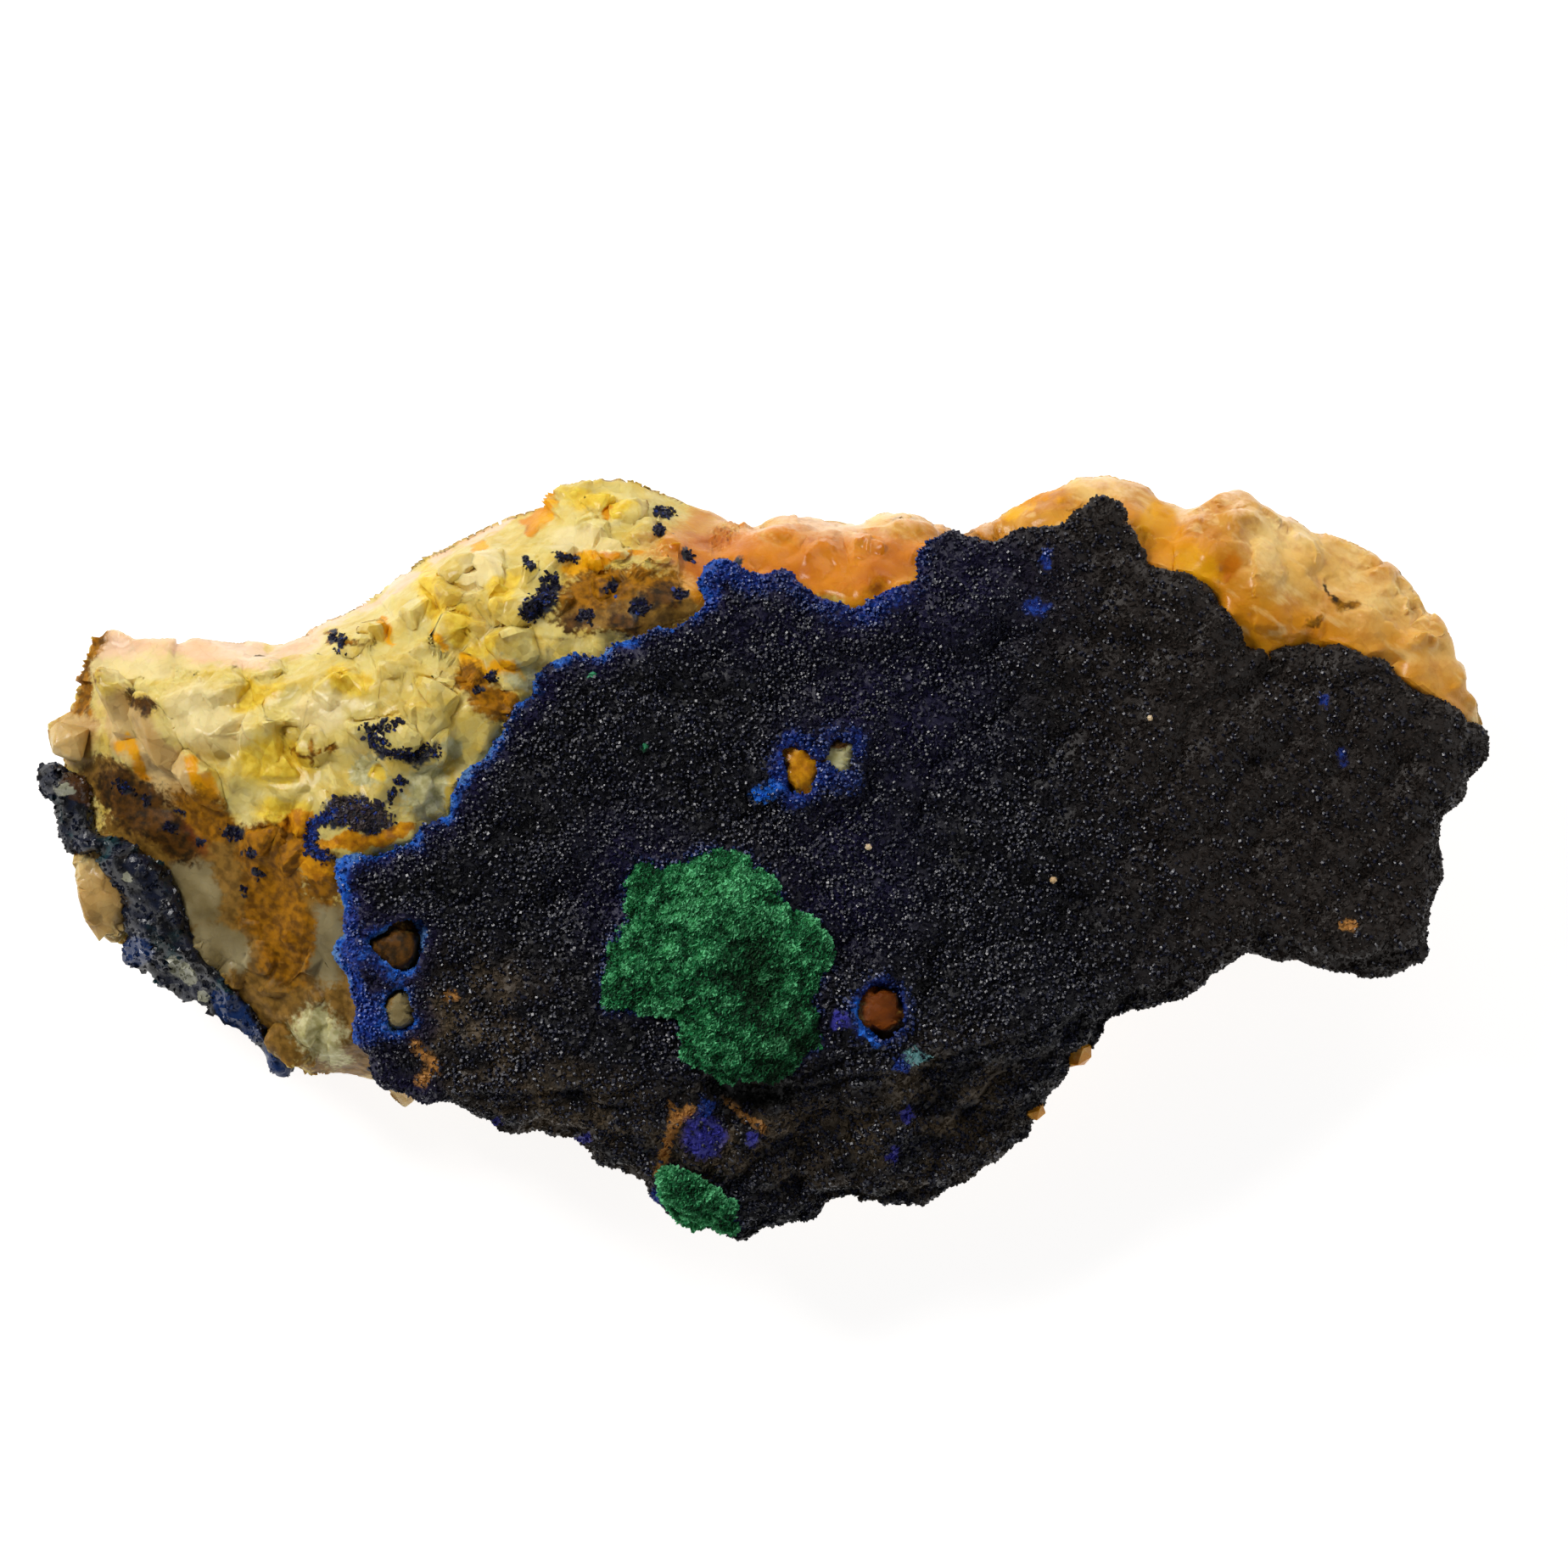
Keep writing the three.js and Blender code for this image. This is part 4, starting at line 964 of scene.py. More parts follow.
@dataclass(frozen=True)
class CrustColours:
    """Colours of the azurite, which the crust and the crystals on it share."""

    dark: Colour = tint(20, 20, 29)
    ink: Colour = tint(9, 9, 13)
    olive: Colour = tint(38, 31, 27)
    earthy: Colour = tint(94, 79, 58)
    dusk: Colour = tint(26, 22, 62)
    cobalt: Colour = tint(30, 74, 172)
    deep: Colour = tint(15, 26, 104)
    azure: Colour = tint(30, 108, 214)
    cyan: Colour = tint(120, 176, 178)
    violet: Colour = tint(58, 58, 156)
    dusting: Colour = tint(188, 132, 66)
    green: Colour = tint(60, 150, 105)
    # Pale steel blue of the left free edge, partly its own blue and partly a painted edge highlight
    steel: Colour = tint(92, 134, 182)
    # Near-black painted shadow in the dip under the malachite
    pit: Colour = tint(2, 2, 2)

    def paint(self, shader: Shader, fine: Socket) -> bpy.types.NodeSocket:
        """Mixes the colours by the mesh's traits.

        Args:
            shader: The material being built.
            fine: Noise that breaks up the edges.

        Returns:
            The colour.
        """
        stray = (fine - 0.5) * 0.6
        patchy = shader.noise(2.4, 4).eased(0.35, 0.65)
        blue = shader.mixed(self.deep, self.cobalt, (fine + shader.trait("cobalt") * 0.2).eased(0.5, 0.9))

        def ragged(name: str, low: float, high: float) -> Socket:
            """Share of a trait, eased from low to high, with a ragged edge."""
            return (shader.trait(name) + stray).eased(low, high)

        return shader.layered(self.dark, (
            (self.ink, shader.noise(1.6, 3).eased(0.3, 0.7)),
            (self.olive, ragged("olive", 0.1, 1.0)),
            (self.earthy, shader.trait("earthy") * patchy * 0.9),
            (self.dusk, shader.trait("dusk") * (0.5 + patchy * 0.4)),
            (self.dusting, (shader.trait("dusting") + stray * 1.2).eased(0.38, 0.9)),
            (self.violet, ragged("violet", 0.3, 0.9)),
            (blue, ragged("cobalt", 0.2, 0.8)),
            (self.azure, ragged("azure", 0.3, 0.9)),
            (self.steel, ragged("steel", 0.3, 0.9) * 0.8),
            (self.pit, shader.trait("pit")),
            (self.cyan, ragged("cyan", 0.3, 0.7)),
            (self.green, ragged("green", 0.3, 0.7)),
        ))


@dataclass(frozen=True)
class CrustFinish:
    """The azurite mass, and the dull fine crystals on it."""

    colours: CrustColours = CrustColours()

    def material(self) -> bpy.types.Material:
        """Builds the material.

        Returns:
            The material.
        """
        shader = Shader("azurite_crust")
        fine = shader.noise(0.3, 4)
        return shader.surface({
            "Base Color": self.colours.paint(shader, fine),
            "Roughness": 0.38 + fine * 0.25,
            "Normal": shader.bump(fine, 0.08),
            "IOR": 1.6,
            "Specular IOR Level": 0.24,
        })


@dataclass(frozen=True)
class GlintFinish:
    """Glassy faces of the azurite crystals that glitter."""

    colour: Colour = tint(26, 28, 46)

    def material(self) -> bpy.types.Material:
        """Builds the material.

        Returns:
            The material.
        """
        shader = Shader("azurite_glints")
        return shader.surface({
            "Base Color": shader.mixed(self.colour, CrustColours().cobalt, shader.trait("cobalt") * 0.8),
            "Roughness": 0.24 + shader.trait("chance") * 0.24,
            "IOR": 1.76,
            "Specular IOR Level": 0.22,
        })


@dataclass(frozen=True)
class MalachiteFinish:
    """Matt, velvety green malachite with short fibres."""

    green: Colour = tint(26, 124, 70)
    light: Colour = tint(112, 206, 146)
    dark: Colour = tint(6, 46, 24)
    moss: Colour = tint(26, 50, 22)
    turn: float = 52

    def material(self) -> bpy.types.Material:
        """Builds the material.

        Returns:
            The material.
        """
        shader = Shader("velvety_malachite")
        fibre = shader.noise(0.16, 3, shader.stretched(self.turn, 4))
        cloud = shader.noise(1.2, 4)
        tone = fibre * 0.35 + cloud * 0.1 + shader.trait("chance") * 0.5
        # Crests painted lighter and dips darker, as light and shade on the relief
        tone = tone + (shader.trait("crest") - 0.25) * 0.5
        # Spots painted lighter as light and darker as shade
        tone = tone + (shader.trait("bright") - shader.trait("shade")) * 0.18
        return shader.surface({
            "Base Color": shader.layered(self.dark, (
                (self.green, tone.eased(0.3, 0.6)),
                (self.light, tone.eased(0.6, 0.9)),
                (self.moss, shader.trait("moss") * cloud.eased(0.3, 0.6) * 0.5),
            )),
            "Roughness": 0.75 + fibre * 0.2,
            "Normal": shader.bump(fibre, 0.12),
            "IOR": 1.5,
            "Specular IOR Level": 0.3,
            "Sheen Weight": 0.15,
            "Sheen Roughness": 0.5,
            "Sheen Tint": tint(150, 220, 180),
        })


@dataclass(frozen=True)
class SeamFinish:
    """Dark azurite of the seam, with blue, teal, brown and pale glassy bits."""

    dark: Colour = tint(20, 26, 46)
    black: Colour = tint(10, 11, 16)
    blue: Colour = tint(18, 46, 96)
    teal: Colour = tint(22, 74, 78)
    brown: Colour = tint(70, 44, 24)
    glass: Colour = tint(150, 150, 128)

    def material(self) -> bpy.types.Material:
        """Builds the material.

        Returns:
            The material.
        """
        shader = Shader("seam_azurite")
        fine = shader.noise(0.35, 4)
        cloud = shader.noise(1.4, 4)
        patch = shader.noise(2.2, 3, shader.stretched(-30, 1.4))
        stray = (fine - 0.5) * 0.9
        return shader.surface({
            "Base Color": shader.layered(self.dark, (
                (self.black, cloud.eased(0.4, 0.6)),
                (self.teal, patch.eased(0.56, 0.7) * 0.6),
                (self.blue, (shader.trait("blue") + stray).eased(0.3, 0.8)),
                (self.brown, (shader.trait("brown") + stray).eased(0.4, 0.8)),
                (self.glass, (shader.trait("glass") + stray).eased(0.45, 0.7)),
            )),
            "Roughness": 0.14 + fine * 0.3,
            "Normal": shader.bump(fine, 0.05, shader.bump(shader.facets(0.7), 0.2)),
            "IOR": 1.65,
            "Specular IOR Level": 0.35,
        })


@dataclass(frozen=True)
class FloorFinish:
    """The plain pale floor, lit from within like a light table."""

    colour: Colour = tint(188, 187, 186)
    glow: float = 0.85

    def material(self) -> bpy.types.Material:
        """Builds the material.

        Returns:
            The material.
        """
        shader = Shader("pale_floor")
        return shader.surface({
            "Base Color": self.colour,
            "Roughness": 0.9,
            "Specular IOR Level": 0.1,
            "Emission Color": (1, 1, 1),
            "Emission Strength": self.glow,
        })


def select_only(piece: bpy.types.Object) -> None:
    """Deselects everything, then selects one piece and makes it active."""
    bpy.ops.object.select_all(action="DESELECT")
    piece.select_set(True)
    bpy.context.view_layer.objects.active = piece


@contextmanager
def editing(piece: bpy.types.Object) -> Iterator[None]:
    """Keeps one piece in edit mode while the block within runs."""
    select_only(piece)
    bpy.ops.object.mode_set(mode="EDIT")
    yield
    bpy.ops.object.mode_set(mode="OBJECT")


def choose_faces(piece: bpy.types.Object, chosen: np.ndarray) -> None:
    """Selects faces of a mesh, for the edit that follows.

    Args:
        piece: The piece.
        chosen: Whether each face is selected.
    """
    bpy.context.tool_settings.mesh_select_mode = (False, False, True)
    with editing(piece):
        bpy.ops.mesh.select_all(action="DESELECT")
    piece.data.polygons.foreach_set("select", chosen)


def apply_modifier(piece: bpy.types.Object, kind: str, settings: dict) -> None:
    """Adds a modifier to a piece and applies it.

    Args:
        piece: The piece.
        kind: The modifier's type.
        settings: Its properties.
    """
    select_only(piece)
    modifier = piece.modifiers.new(kind.lower(), kind)
    for name, value in settings.items():
        setattr(modifier, name, value)
    bpy.ops.object.modifier_apply(modifier=modifier.name)


class Form:
    """A mineral mass whose mesh is shaped through arrays of its points."""

    def __init__(self, piece: bpy.types.Object) -> None:
        """Takes the piece whose mesh is shaped."""
        self.piece = piece

    @classmethod
    def copy_of(cls, node: bpy.types.Object, name: str) -> Form:
        """Copies a solid of the frame, joins the copy's loose triangles and nudges its outline.

        Args:
            node: The frame's solid.
            name: The copy's name.

        Returns:
            The copy.
        """
        piece = bpy.data.objects.new(name, node.data.copy())
        bpy.context.scene.collection.objects.link(piece)
        piece.data.materials.clear()
        with editing(piece):
            bpy.ops.mesh.select_all(action="SELECT")
            bpy.ops.mesh.remove_doubles(threshold=JOIN_GAP)
        form = cls(piece)
        form.place(nudged(form.points))
        return form

    @property
    def points(self) -> np.ndarray:
        """Places of the points, (n, 3)."""
        return self._read("co")

    @property
    def normals(self) -> np.ndarray:
        """Smooth normals at the points, (n, 3)."""
        return self._read("normal")

    def _read(self, name: str) -> np.ndarray:
        """Reads a vector that each point of the mesh has."""
        values = np.empty(3 * len(self.piece.data.vertices), dtype=np.float32)
        self.piece.data.vertices.foreach_get(name, values)
        return values.reshape(-1, 3).astype(float)

    @property
    def triangles(self) -> np.ndarray:
        """Corners of the mesh's triangles, (m, 3)."""
        self.piece.data.calc_loop_triangles()
        corners = np.empty(3 * len(self.piece.data.loop_triangles), dtype=np.int32)
        self.piece.data.loop_triangles.foreach_get("vertices", corners)
        return corners.reshape(-1, 3)

    def place(self, points: np.ndarray) -> None:
        """Moves the points to the given places."""
        self.piece.data.vertices.foreach_set("co", points.astype(np.float32).ravel())
        self.piece.data.update()

    def raise_by(self, heights: np.ndarray) -> None:
        """Moves the points out along their normals by the given heights."""
        self.place(self.points + self.normals * heights[:, None])

    def store(self, traits: Traits) -> None:
        """Stores traits on the points, for the shader.

        Args:
            traits: One number per point, by name.
        """
        for name, values in traits.items():
            attribute = self.piece.data.attributes.new(name, "FLOAT", "POINT")
            attribute.data.foreach_set("value", values.astype(np.float32))

    def remesh(self, spacing: float) -> None:
        """Rebuilds the mesh from even small faces, and drops crumbs that come loose from it.

        Args:
            spacing: Size of a face, in metres.
        """
        name = self.piece.name
        apply_modifier(self.piece, "REMESH", {"mode": "VOXEL", "voxel_size": spacing})
        with editing(self.piece):
            bpy.ops.mesh.select_all(action="SELECT")
            bpy.ops.mesh.separate(type="LOOSE")
        *crumbs, self.piece = sorted(bpy.context.selected_objects, key=lambda part: len(part.data.vertices))
        for crumb in crumbs:
            bpy.data.objects.remove(crumb)
        self.piece.name = name

    def smooth(self, rounds: int, share: np.ndarray | float = 1) -> None:
        """Eases the mesh.

        Args:
            rounds: How many times each point moves towards its neighbours.
            share: How much of that each point keeps.
        """
        before = self.points
        apply_modifier(self.piece, "SMOOTH", {"iterations": rounds, "factor": 0.5})
        self._keep(before, self.points, share)

    def soften(self, rounds: int, share: np.ndarray | float = 1) -> None:
        """Eases small features away, and gives the large ones back what that took from them.

        Args:
            rounds: How many times each point moves towards its neighbours.
            share: How much of that each point keeps.
        """
        before = self.points
        self.smooth(rounds)
        once = self.points
        self.smooth(rounds)
        self._keep(before, 2 * once - self.points, share)

    def _keep(self, before: np.ndarray, after: np.ndarray, share: np.ndarray | float) -> None:
        """Moves each point a share of the way from its place before to that after."""
        kept = np.broadcast_to(share, len(before))[:, None]
        self.place(before + (after - before) * kept)

    def subdivide(self, chosen: np.ndarray) -> None:
        """Divides the chosen faces in four, without moving them.

        Args:
            chosen: Whether each face is divided.
        """
        choose_faces(self.piece, chosen)
        with editing(self.piece):
            bpy.ops.mesh.subdivide(number_cuts=1)

    def shade(self, crease: float | None = None) -> None:
        """Shades the mesh smoothly.

        Args:
            crease: Angle in degrees from which an edge stays sharp, or None for no sharp edge.
        """
        select_only(self.piece)
        if crease is None:
            bpy.ops.object.shade_smooth()
        else:
            bpy.ops.object.shade_smooth_by_angle(angle=math.radians(crease))

    def tree(self) -> BVHTree:
        """A tree of the mesh's faces, for rays."""
        return BVHTree.FromPolygons(self.points.tolist(), self.triangles.tolist())

    def dress(self, material: bpy.types.Material, slot: str, *nodes: str) -> None:
        """Finishes the piece and ties it to the frame.

        Args:
            material: Its finish.
            slot: Name of a material slot; not used.
            nodes: The frame's solids that it stands for.
        """
        finish_piece(self.piece, material)
        if nodes:
            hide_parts(*nodes)


def solid_tree(node: bpy.types.Object) -> BVHTree:
    """A tree of a solid of the frame, with its outline nudged as that of its copy."""
    form = Form(node)
    return BVHTree.FromPolygons(nudged(form.points).tolist(), form.triangles.tolist())


def finish_piece(piece: bpy.types.Object, material: bpy.types.Material) -> None:
    """Gives a piece its finish and its body, and reports it.

    Args:
        piece: The piece.
        material: Its finish.
    """
    piece.data.materials.clear()
    piece.data.materials.append(material)
    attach(piece, BODY)
    sides = sum(len(face.vertices) - 2 for face in piece.data.polygons)
    LOG.info("%s: %d triangles", piece.name, sides)


def under_open_sky(points: np.ndarray, covers: list[BVHTree], lift: float = 0.05 * MM) -> np.ndarray:
    """Finds the points over which nothing lies.

    Args:
        points: Places, (n, 3).
        covers: Trees of what may lie over them.
        lift: How far over a point the search starts.

    Returns:
        Whether each point is open to the sky.
    """
    starts = points + np.array([0, 0, lift])

    def is_open(start: np.ndarray) -> bool:
        """Whether a ray straight up meets nothing."""
        return all(tree.ray_cast(Vector(start), UP)[0] is None for tree in covers)

    return np.array([is_open(start) for start in starts])


def distance_to(points: np.ndarray, others: np.ndarray) -> np.ndarray:
    """Distance from each point to the nearest of others.

    Args:
        points: Places, (n, 3).
        others: Places that the distance is measured to, (m, 3).

    Returns:
        Distances, (n,).
    """
    tree = KDTree(len(others))
    for number, other in enumerate(others.tolist()):
        tree.insert(other, number)
    tree.balance()
    return np.array([tree.find(point)[2] for point in points.tolist()])


class Habit(Enum):
    """The shape that a crystal grows in."""

    BLADE = "blade"
    PRISM = "prism"
    GRAIN = "grain"


# Width, depth and height of a crystal's top, as shares of its foot's
TOPS = {Habit.BLADE: (0.6, 0.01, 1), Habit.PRISM: (0.85, 0.85, 1)}


@dataclass(frozen=True)
class CrystalShape:
    """One crystal of unit size, which is copied to where crystals grow.

    Attributes:
        points: Its corners, (n, 3).
        triangles: Its faces, (m, 3).
    """

    points: np.ndarray
    triangles: np.ndarray

    @classmethod
    def modelled(cls, habit: Habit) -> CrystalShape:
        """Models a crystal of the given habit.

        Args:
            habit: Its shape: a roof-topped blade, a flat-topped prism or a many-sided grain.

        Returns:
            The crystal.
        """
        bpy.ops.object.select_all(action="DESELECT")
        if habit is Habit.GRAIN:
            bpy.ops.mesh.primitive_ico_sphere_add(subdivisions=1, radius=0.5)
        else:
            cls._model_tapered(TOPS[habit])
        piece = bpy.context.active_object
        form = Form(piece)
        shape = cls(form.points, form.triangles)
        bpy.data.objects.remove(piece)
        return shape

    @staticmethod
    def _model_tapered(top: tuple[float, float, float]) -> None:
        """Adds a cube of unit size and draws its top together.

        Args:
            top: Size of the top, as factors.
        """
        level = 0.9
        ridge_gap = 0.05
        bpy.ops.mesh.primitive_cube_add(size=1)
        piece = bpy.context.active_object
        choose_faces(piece, np.array([face.normal.z > level for face in piece.data.polygons]))
        with editing(piece):
            bpy.ops.transform.resize(value=top)
            bpy.ops.mesh.select_all(action="SELECT")
            bpy.ops.mesh.remove_doubles(threshold=ridge_gap)


@dataclass
class Sites:
    """Places on a surface where crystals grow.

    Attributes:
        points: The places, (n, 3).
        normals: The surface's normals there, (n, 3).
        traits: Numbers of the surface there, by name.
    """

    points: np.ndarray
    normals: np.ndarray
    traits: Traits

    @classmethod
    def on(cls, form: Form, traits: Traits, weight: np.ndarray, count: int,
           random: np.random.Generator) -> Sites:
        """Scatters places over a form.

        Args:
            form: The form.
            traits: Numbers of its points, by name.
            weight: How closely the places lie at each of its points.
            count: How many places.
            random: Source of random numbers.

        Returns:
            The places.
        """
        triangles = form.triangles
        corners = form.points[triangles]
        crossed = np.cross(corners[:, 1] - corners[:, 0], corners[:, 2] - corners[:, 0])
        chance = np.linalg.norm(crossed, axis=1) * weight[triangles].mean(axis=1)
        picked = random.choice(len(chance), size=count, p=chance / chance.sum())
        first = np.sqrt(random.random(count))
        second = random.random(count)
        shares = np.stack([1 - first, first * (1 - second), first * second], axis=1)
        ends = triangles[picked]

        def between(values: np.ndarray) -> np.ndarray:
            """Values at the places, from those at the triangles' corners."""
            return np.einsum("ni,ni...->n...", shares, values[ends])

        normals = between(form.normals)
        normals /= np.linalg.norm(normals, axis=1, keepdims=True)
        kept = {name: between(values) for name, values in traits.items()}
        return cls(between(form.points), normals, kept)

    def part(self, chosen: np.ndarray) -> Sites:
        """The chosen places alone."""
        kept = {name: values[chosen] for name, values in self.traits.items()}
        return Sites(self.points[chosen], self.normals[chosen], kept)


@dataclass
class Growth:
    """Small crystals of one shape, grown as joined meshes.

    Attributes:
        shape: The crystal that is copied.
        lean: How far crystals lean from the surface's normal, as a slope.
        uneven: How far their corners stray, as a share of their size.
        rise: How high their middles would stand over the surface, as a share of their height.
        sink: How much lower they stand than that.
        limit: Most crystals in one piece.
        along: Direction that their length keeps to, or None for any.
        drift: How far it strays from that, as a slope.
    """

    shape: CrystalShape
    lean: float = 0.5
    uneven: float = 0.12
    rise: float = 0.25
    sink: float = 0.05
    limit: int = 24000
    along: Vector | None = None
    drift: float = 0.45

    def axes(self, normals: np.ndarray, random: np.random.Generator) -> np.ndarray:
        """Directions of the crystals' three sides.

        Args:
            normals: The surface's normals, (n, 3).
            random: Source of random numbers.

        Returns:
            Unit vectors as rows, (n, 3, 3): length, width and height.
        """
        up = normals + self.lean * random.normal(size=normals.shape)
        up /= np.linalg.norm(up, axis=1, keepdims=True)
        guide = random.normal(size=normals.shape)
        if self.along is not None:
            guide = np.array(self.along) + self.drift * guide
        length = np.cross(guide, up)
        length = np.cross(up, length)
        length /= np.linalg.norm(length, axis=1, keepdims=True)
        return np.stack([length, np.cross(up, length), up], axis=1)

    def grow(self, name: str, sites: Sites, sizes: np.ndarray, random: np.random.Generator) -> list[Form]:
        """Grows a crystal at each site.

        Args:
            name: Name of the pieces, to which a number is added.
            sites: Where the crystals grow.
            sizes: Their length, width and height, (n, 3), in metres.
            random: Source of random numbers.

        Returns:
            The pieces.
        """
        pieces = []
        for start in range(0, len(sites.points), self.limit):
            chosen = np.arange(start, min(start + self.limit, len(sites.points)))
            label = f"{name}_{len(pieces) + 1}"
            pieces.append(self._piece(label, sites.part(chosen), sizes[chosen], random))
        return pieces

    def _piece(self, name: str, sites: Sites, sizes: np.ndarray, random: np.random.Generator) -> Form:
        """Joins a crystal at each site into one mesh.

        Args:
            name: The piece's name.
            sites: Where the crystals grow.
            sizes: Their sizes, (n, 3), in metres.
            random: Source of random numbers.

        Returns:
            The piece.
        """
        count = len(sites.points)
        corners = len(self.shape.points)
        stray = 1 + self.uneven * random.normal(size=(count, corners, 3))
        local = self.shape.points[None] * stray * sizes[:, None, :]
        local[:, :, 2] += (self.rise - self.sink) * sizes[:, None, 2]
        axes = self.axes(sites.normals, random)
        points = sites.points[:, None, :] + np.einsum("nci,nij->ncj", local, axes)
        shift = corners * np.arange(count)[:, None, None]
        triangles = (self.shape.triangles[None] + shift).reshape(-1, 3)
        form = Form(mesh_piece(name, points.reshape(-1, 3), triangles))
        traits = {key: np.repeat(values, corners) for key, values in sites.traits.items()}
        form.store(traits)
        return form


def mesh_piece(name: str, points: np.ndarray, triangles: np.ndarray) -> bpy.types.Object:
    """Makes a mesh piece from arrays.

    Args:
        name: Its name.
        points: Its points, (n, 3).
        triangles: Its faces, (m, 3).

    Returns:
        The piece.
    """
    mesh = bpy.data.meshes.new(name)
    mesh.vertices.add(len(points))
    mesh.vertices.foreach_set("co", points.astype(np.float32).ravel())
    mesh.loops.add(triangles.size)
    mesh.loops.foreach_set("vertex_index", triangles.astype(np.int32).ravel())
    mesh.polygons.add(len(triangles))
    mesh.polygons.foreach_set("loop_start", np.arange(0, triangles.size, 3, dtype=np.int32))
    mesh.update(calc_edges=True)
    mesh.shade_flat()
    piece = bpy.data.objects.new(name, mesh)
    bpy.context.scene.collection.objects.link(piece)
    return piece


@dataclass
class QuartzRock:
    """The rock slab that carries everything."""

    fine_face: float = 0.3 * MM
    side_face: float = 0.8 * MM
    coarse_face: float = 1.5 * MM
    divisions: int = 5
    large_block: float = 3 * MM
    medium_block: float = 2.4 * MM
    small_block: float = 1.2 * MM
    chunk: float = 4.6 * MM
    crack_depth: float = 0.25 * MM
    chunk_rise: float = 0.2 * MM
    knob_rise: float = 0.9 * MM
    low_rise: float = 0.4 * MM
    lump_rise: float = 0.4 * MM
    foot: float = 0.8 * MM
    first_rounds: int = 5
    waxy_rounds: int = 320
    tan_crispness: float = 0.75
    glow_reach: float = 4.2 * MM
    weathering: float = 0.85
    crease: float = 14
    finish: QuartzFinish = QuartzFinish()
    form: Form = field(init=False)
    open_points: np.ndarray = field(init=False)

    def build(self, node: bpy.types.Object, covers: list[BVHTree], crust: BVHTree) -> None:
        """Shapes and stains the rock.

        Args:
            node: The frame's solid.
            covers: Trees of what lies on the rock.
            crust: Tree of the crust.
        """
        self.form = Form.copy_of(node, "rock_mass")
        self._divide(covers)
        kept = 1 - self.tan_crispness * zone(self.form.points, STAINS["tan"])
        self.form.smooth(self.first_rounds, kept)
        points = self.form.points
        away = np.array([crust.find_nearest(Vector(point))[3] for point in points])
        self.form.soften(self.waxy_rounds, zone(points, WAXY) * ease(away / MM - 0.4))
        points = self.form.points
        normals = self.form.normals
        seen = under_open_sky(points, covers)
        is_open = seen & (normals[:, 2] > FACES_UP)
        self.open_points = points[is_open]
        traits = self._stains(points, normals, seen)
        traits["near"] = np.where(is_open, ease(1.1 - away / self.glow_reach), 0)
        traits |= self._break(points, normals, away)
        self.form.store(traits)

    def _divide(self, covers: list[BVHTree]) -> None:
        """Divides what shows from above finely, the rest coarsely, and what is buried not at all.

        Args:
            covers: Trees of what lies on the rock.
        """
        for _ in range(self.divisions):
            faces = self.form.piece.data.polygons
            sizes = np.sqrt(2 * np.array([face.area for face in faces]))
            upward = np.array([face.normal.z for face in faces])
            chosen = sizes > self.fine_face
            centres = np.array([face.center[:] for face in faces])[chosen]
            is_open = under_open_sky(centres, covers)
            beneath = np.where(upward[chosen] > FACES_DOWN, self.side_face, self.coarse_face)
            limit = np.where(is_open & (upward[chosen] > FACES_UP), self.fine_face, beneath)
            buried = ~is_open & (upward[chosen] > LIES_FLAT)
            chosen[chosen] = (sizes[chosen] > limit) & ~buried
            self.form.subdivide(chosen)

    def _break(self, points: np.ndarray, normals: np.ndarray, away: np.ndarray) -> Traits:
        """Raises crystals, broken faces and waxy lumps.

        Args:
            points: Places of the rock's points.
            normals: Normals at them.
            away: Their distance from the crust.

        Returns:
            How deep each point lies between the crystals, for the painted shade there, and a random number of
            its crystal, by name.
        """
        top = ease(normals[:, 2] / 0.3) * ease((points[:, 2] / MM - 4) / 4)
        granular = zone(points, GRANULAR) * top
        waxy = zone(points, WAXY) * (1 - granular)
        broken = (1 - granular) * (1 - waxy)
        large = Blocks.over(points, self.large_block, 11, tilt=1.2, steep=0.9)
        medium = Blocks.over(points, self.medium_block, 13)
        small = Blocks.over(points, self.small_block, 12)
        relief = 0.27 * np.maximum(large.heights, -self.crack_depth) + 0.08 * small.heights
        rim = ease((normals[:, 1] - 0.5) / 0.3)
        earthy = zone(points, STAINS["earth"])
        heights = (granular + broken * (0.7 - 0.45 * earthy)) * relief * (1 - 0.7 * rim)
        apart = waxy * MM * ease((away / MM - 0.3) / 1.6)
        heights += apart * (0.36 * soft_noise(points, 4.6 * MM, 21) + 0.2 * soft_noise(points, 1.9 * MM, 22))
        heights += broken * 0.05 * MM * layered_noise(points, 0.6 * MM, 31)
        heights += self.lump_rise * zone(points, LUMP)
        heights += apart * (0.8 * ease((0.7 - normals[:, 2]) / 0.5) + 0.22 * medium.heights / MM)
        chunks = Blocks.over(points, self.chunk, 14, tilt=1.4, steep=1)
        rough = 0.5 * chunks.heights + 0.35 * MM * layered_noise(points, 2.4 * MM, 32)
        heights += ease((-0.08 - normals[:, 2]) / 0.3) * np.minimum(rough, self.chunk_rise)
        heights *= ease(points[:, 2] / self.foot)
        self.form.raise_by(heights)
        settled = self.form.points
        knobs = self.knob_rise * zone(points, KNOBS) + self.low_rise * zone(points, LOW_KNOBS)
        settled[:, 2] += knobs * top
        settled[:, 2] = np.maximum(settled[:, 2], 0)
        self.form.place(settled)
        # Depth between the crystals, which the finish paints darker as shade
        hollow_shade = ease((-relief - 0.05 * MM) / (0.35 * MM)) * granular
        return {"hollow_shade": hollow_shade, "crystal": large.traits[:, 2]}

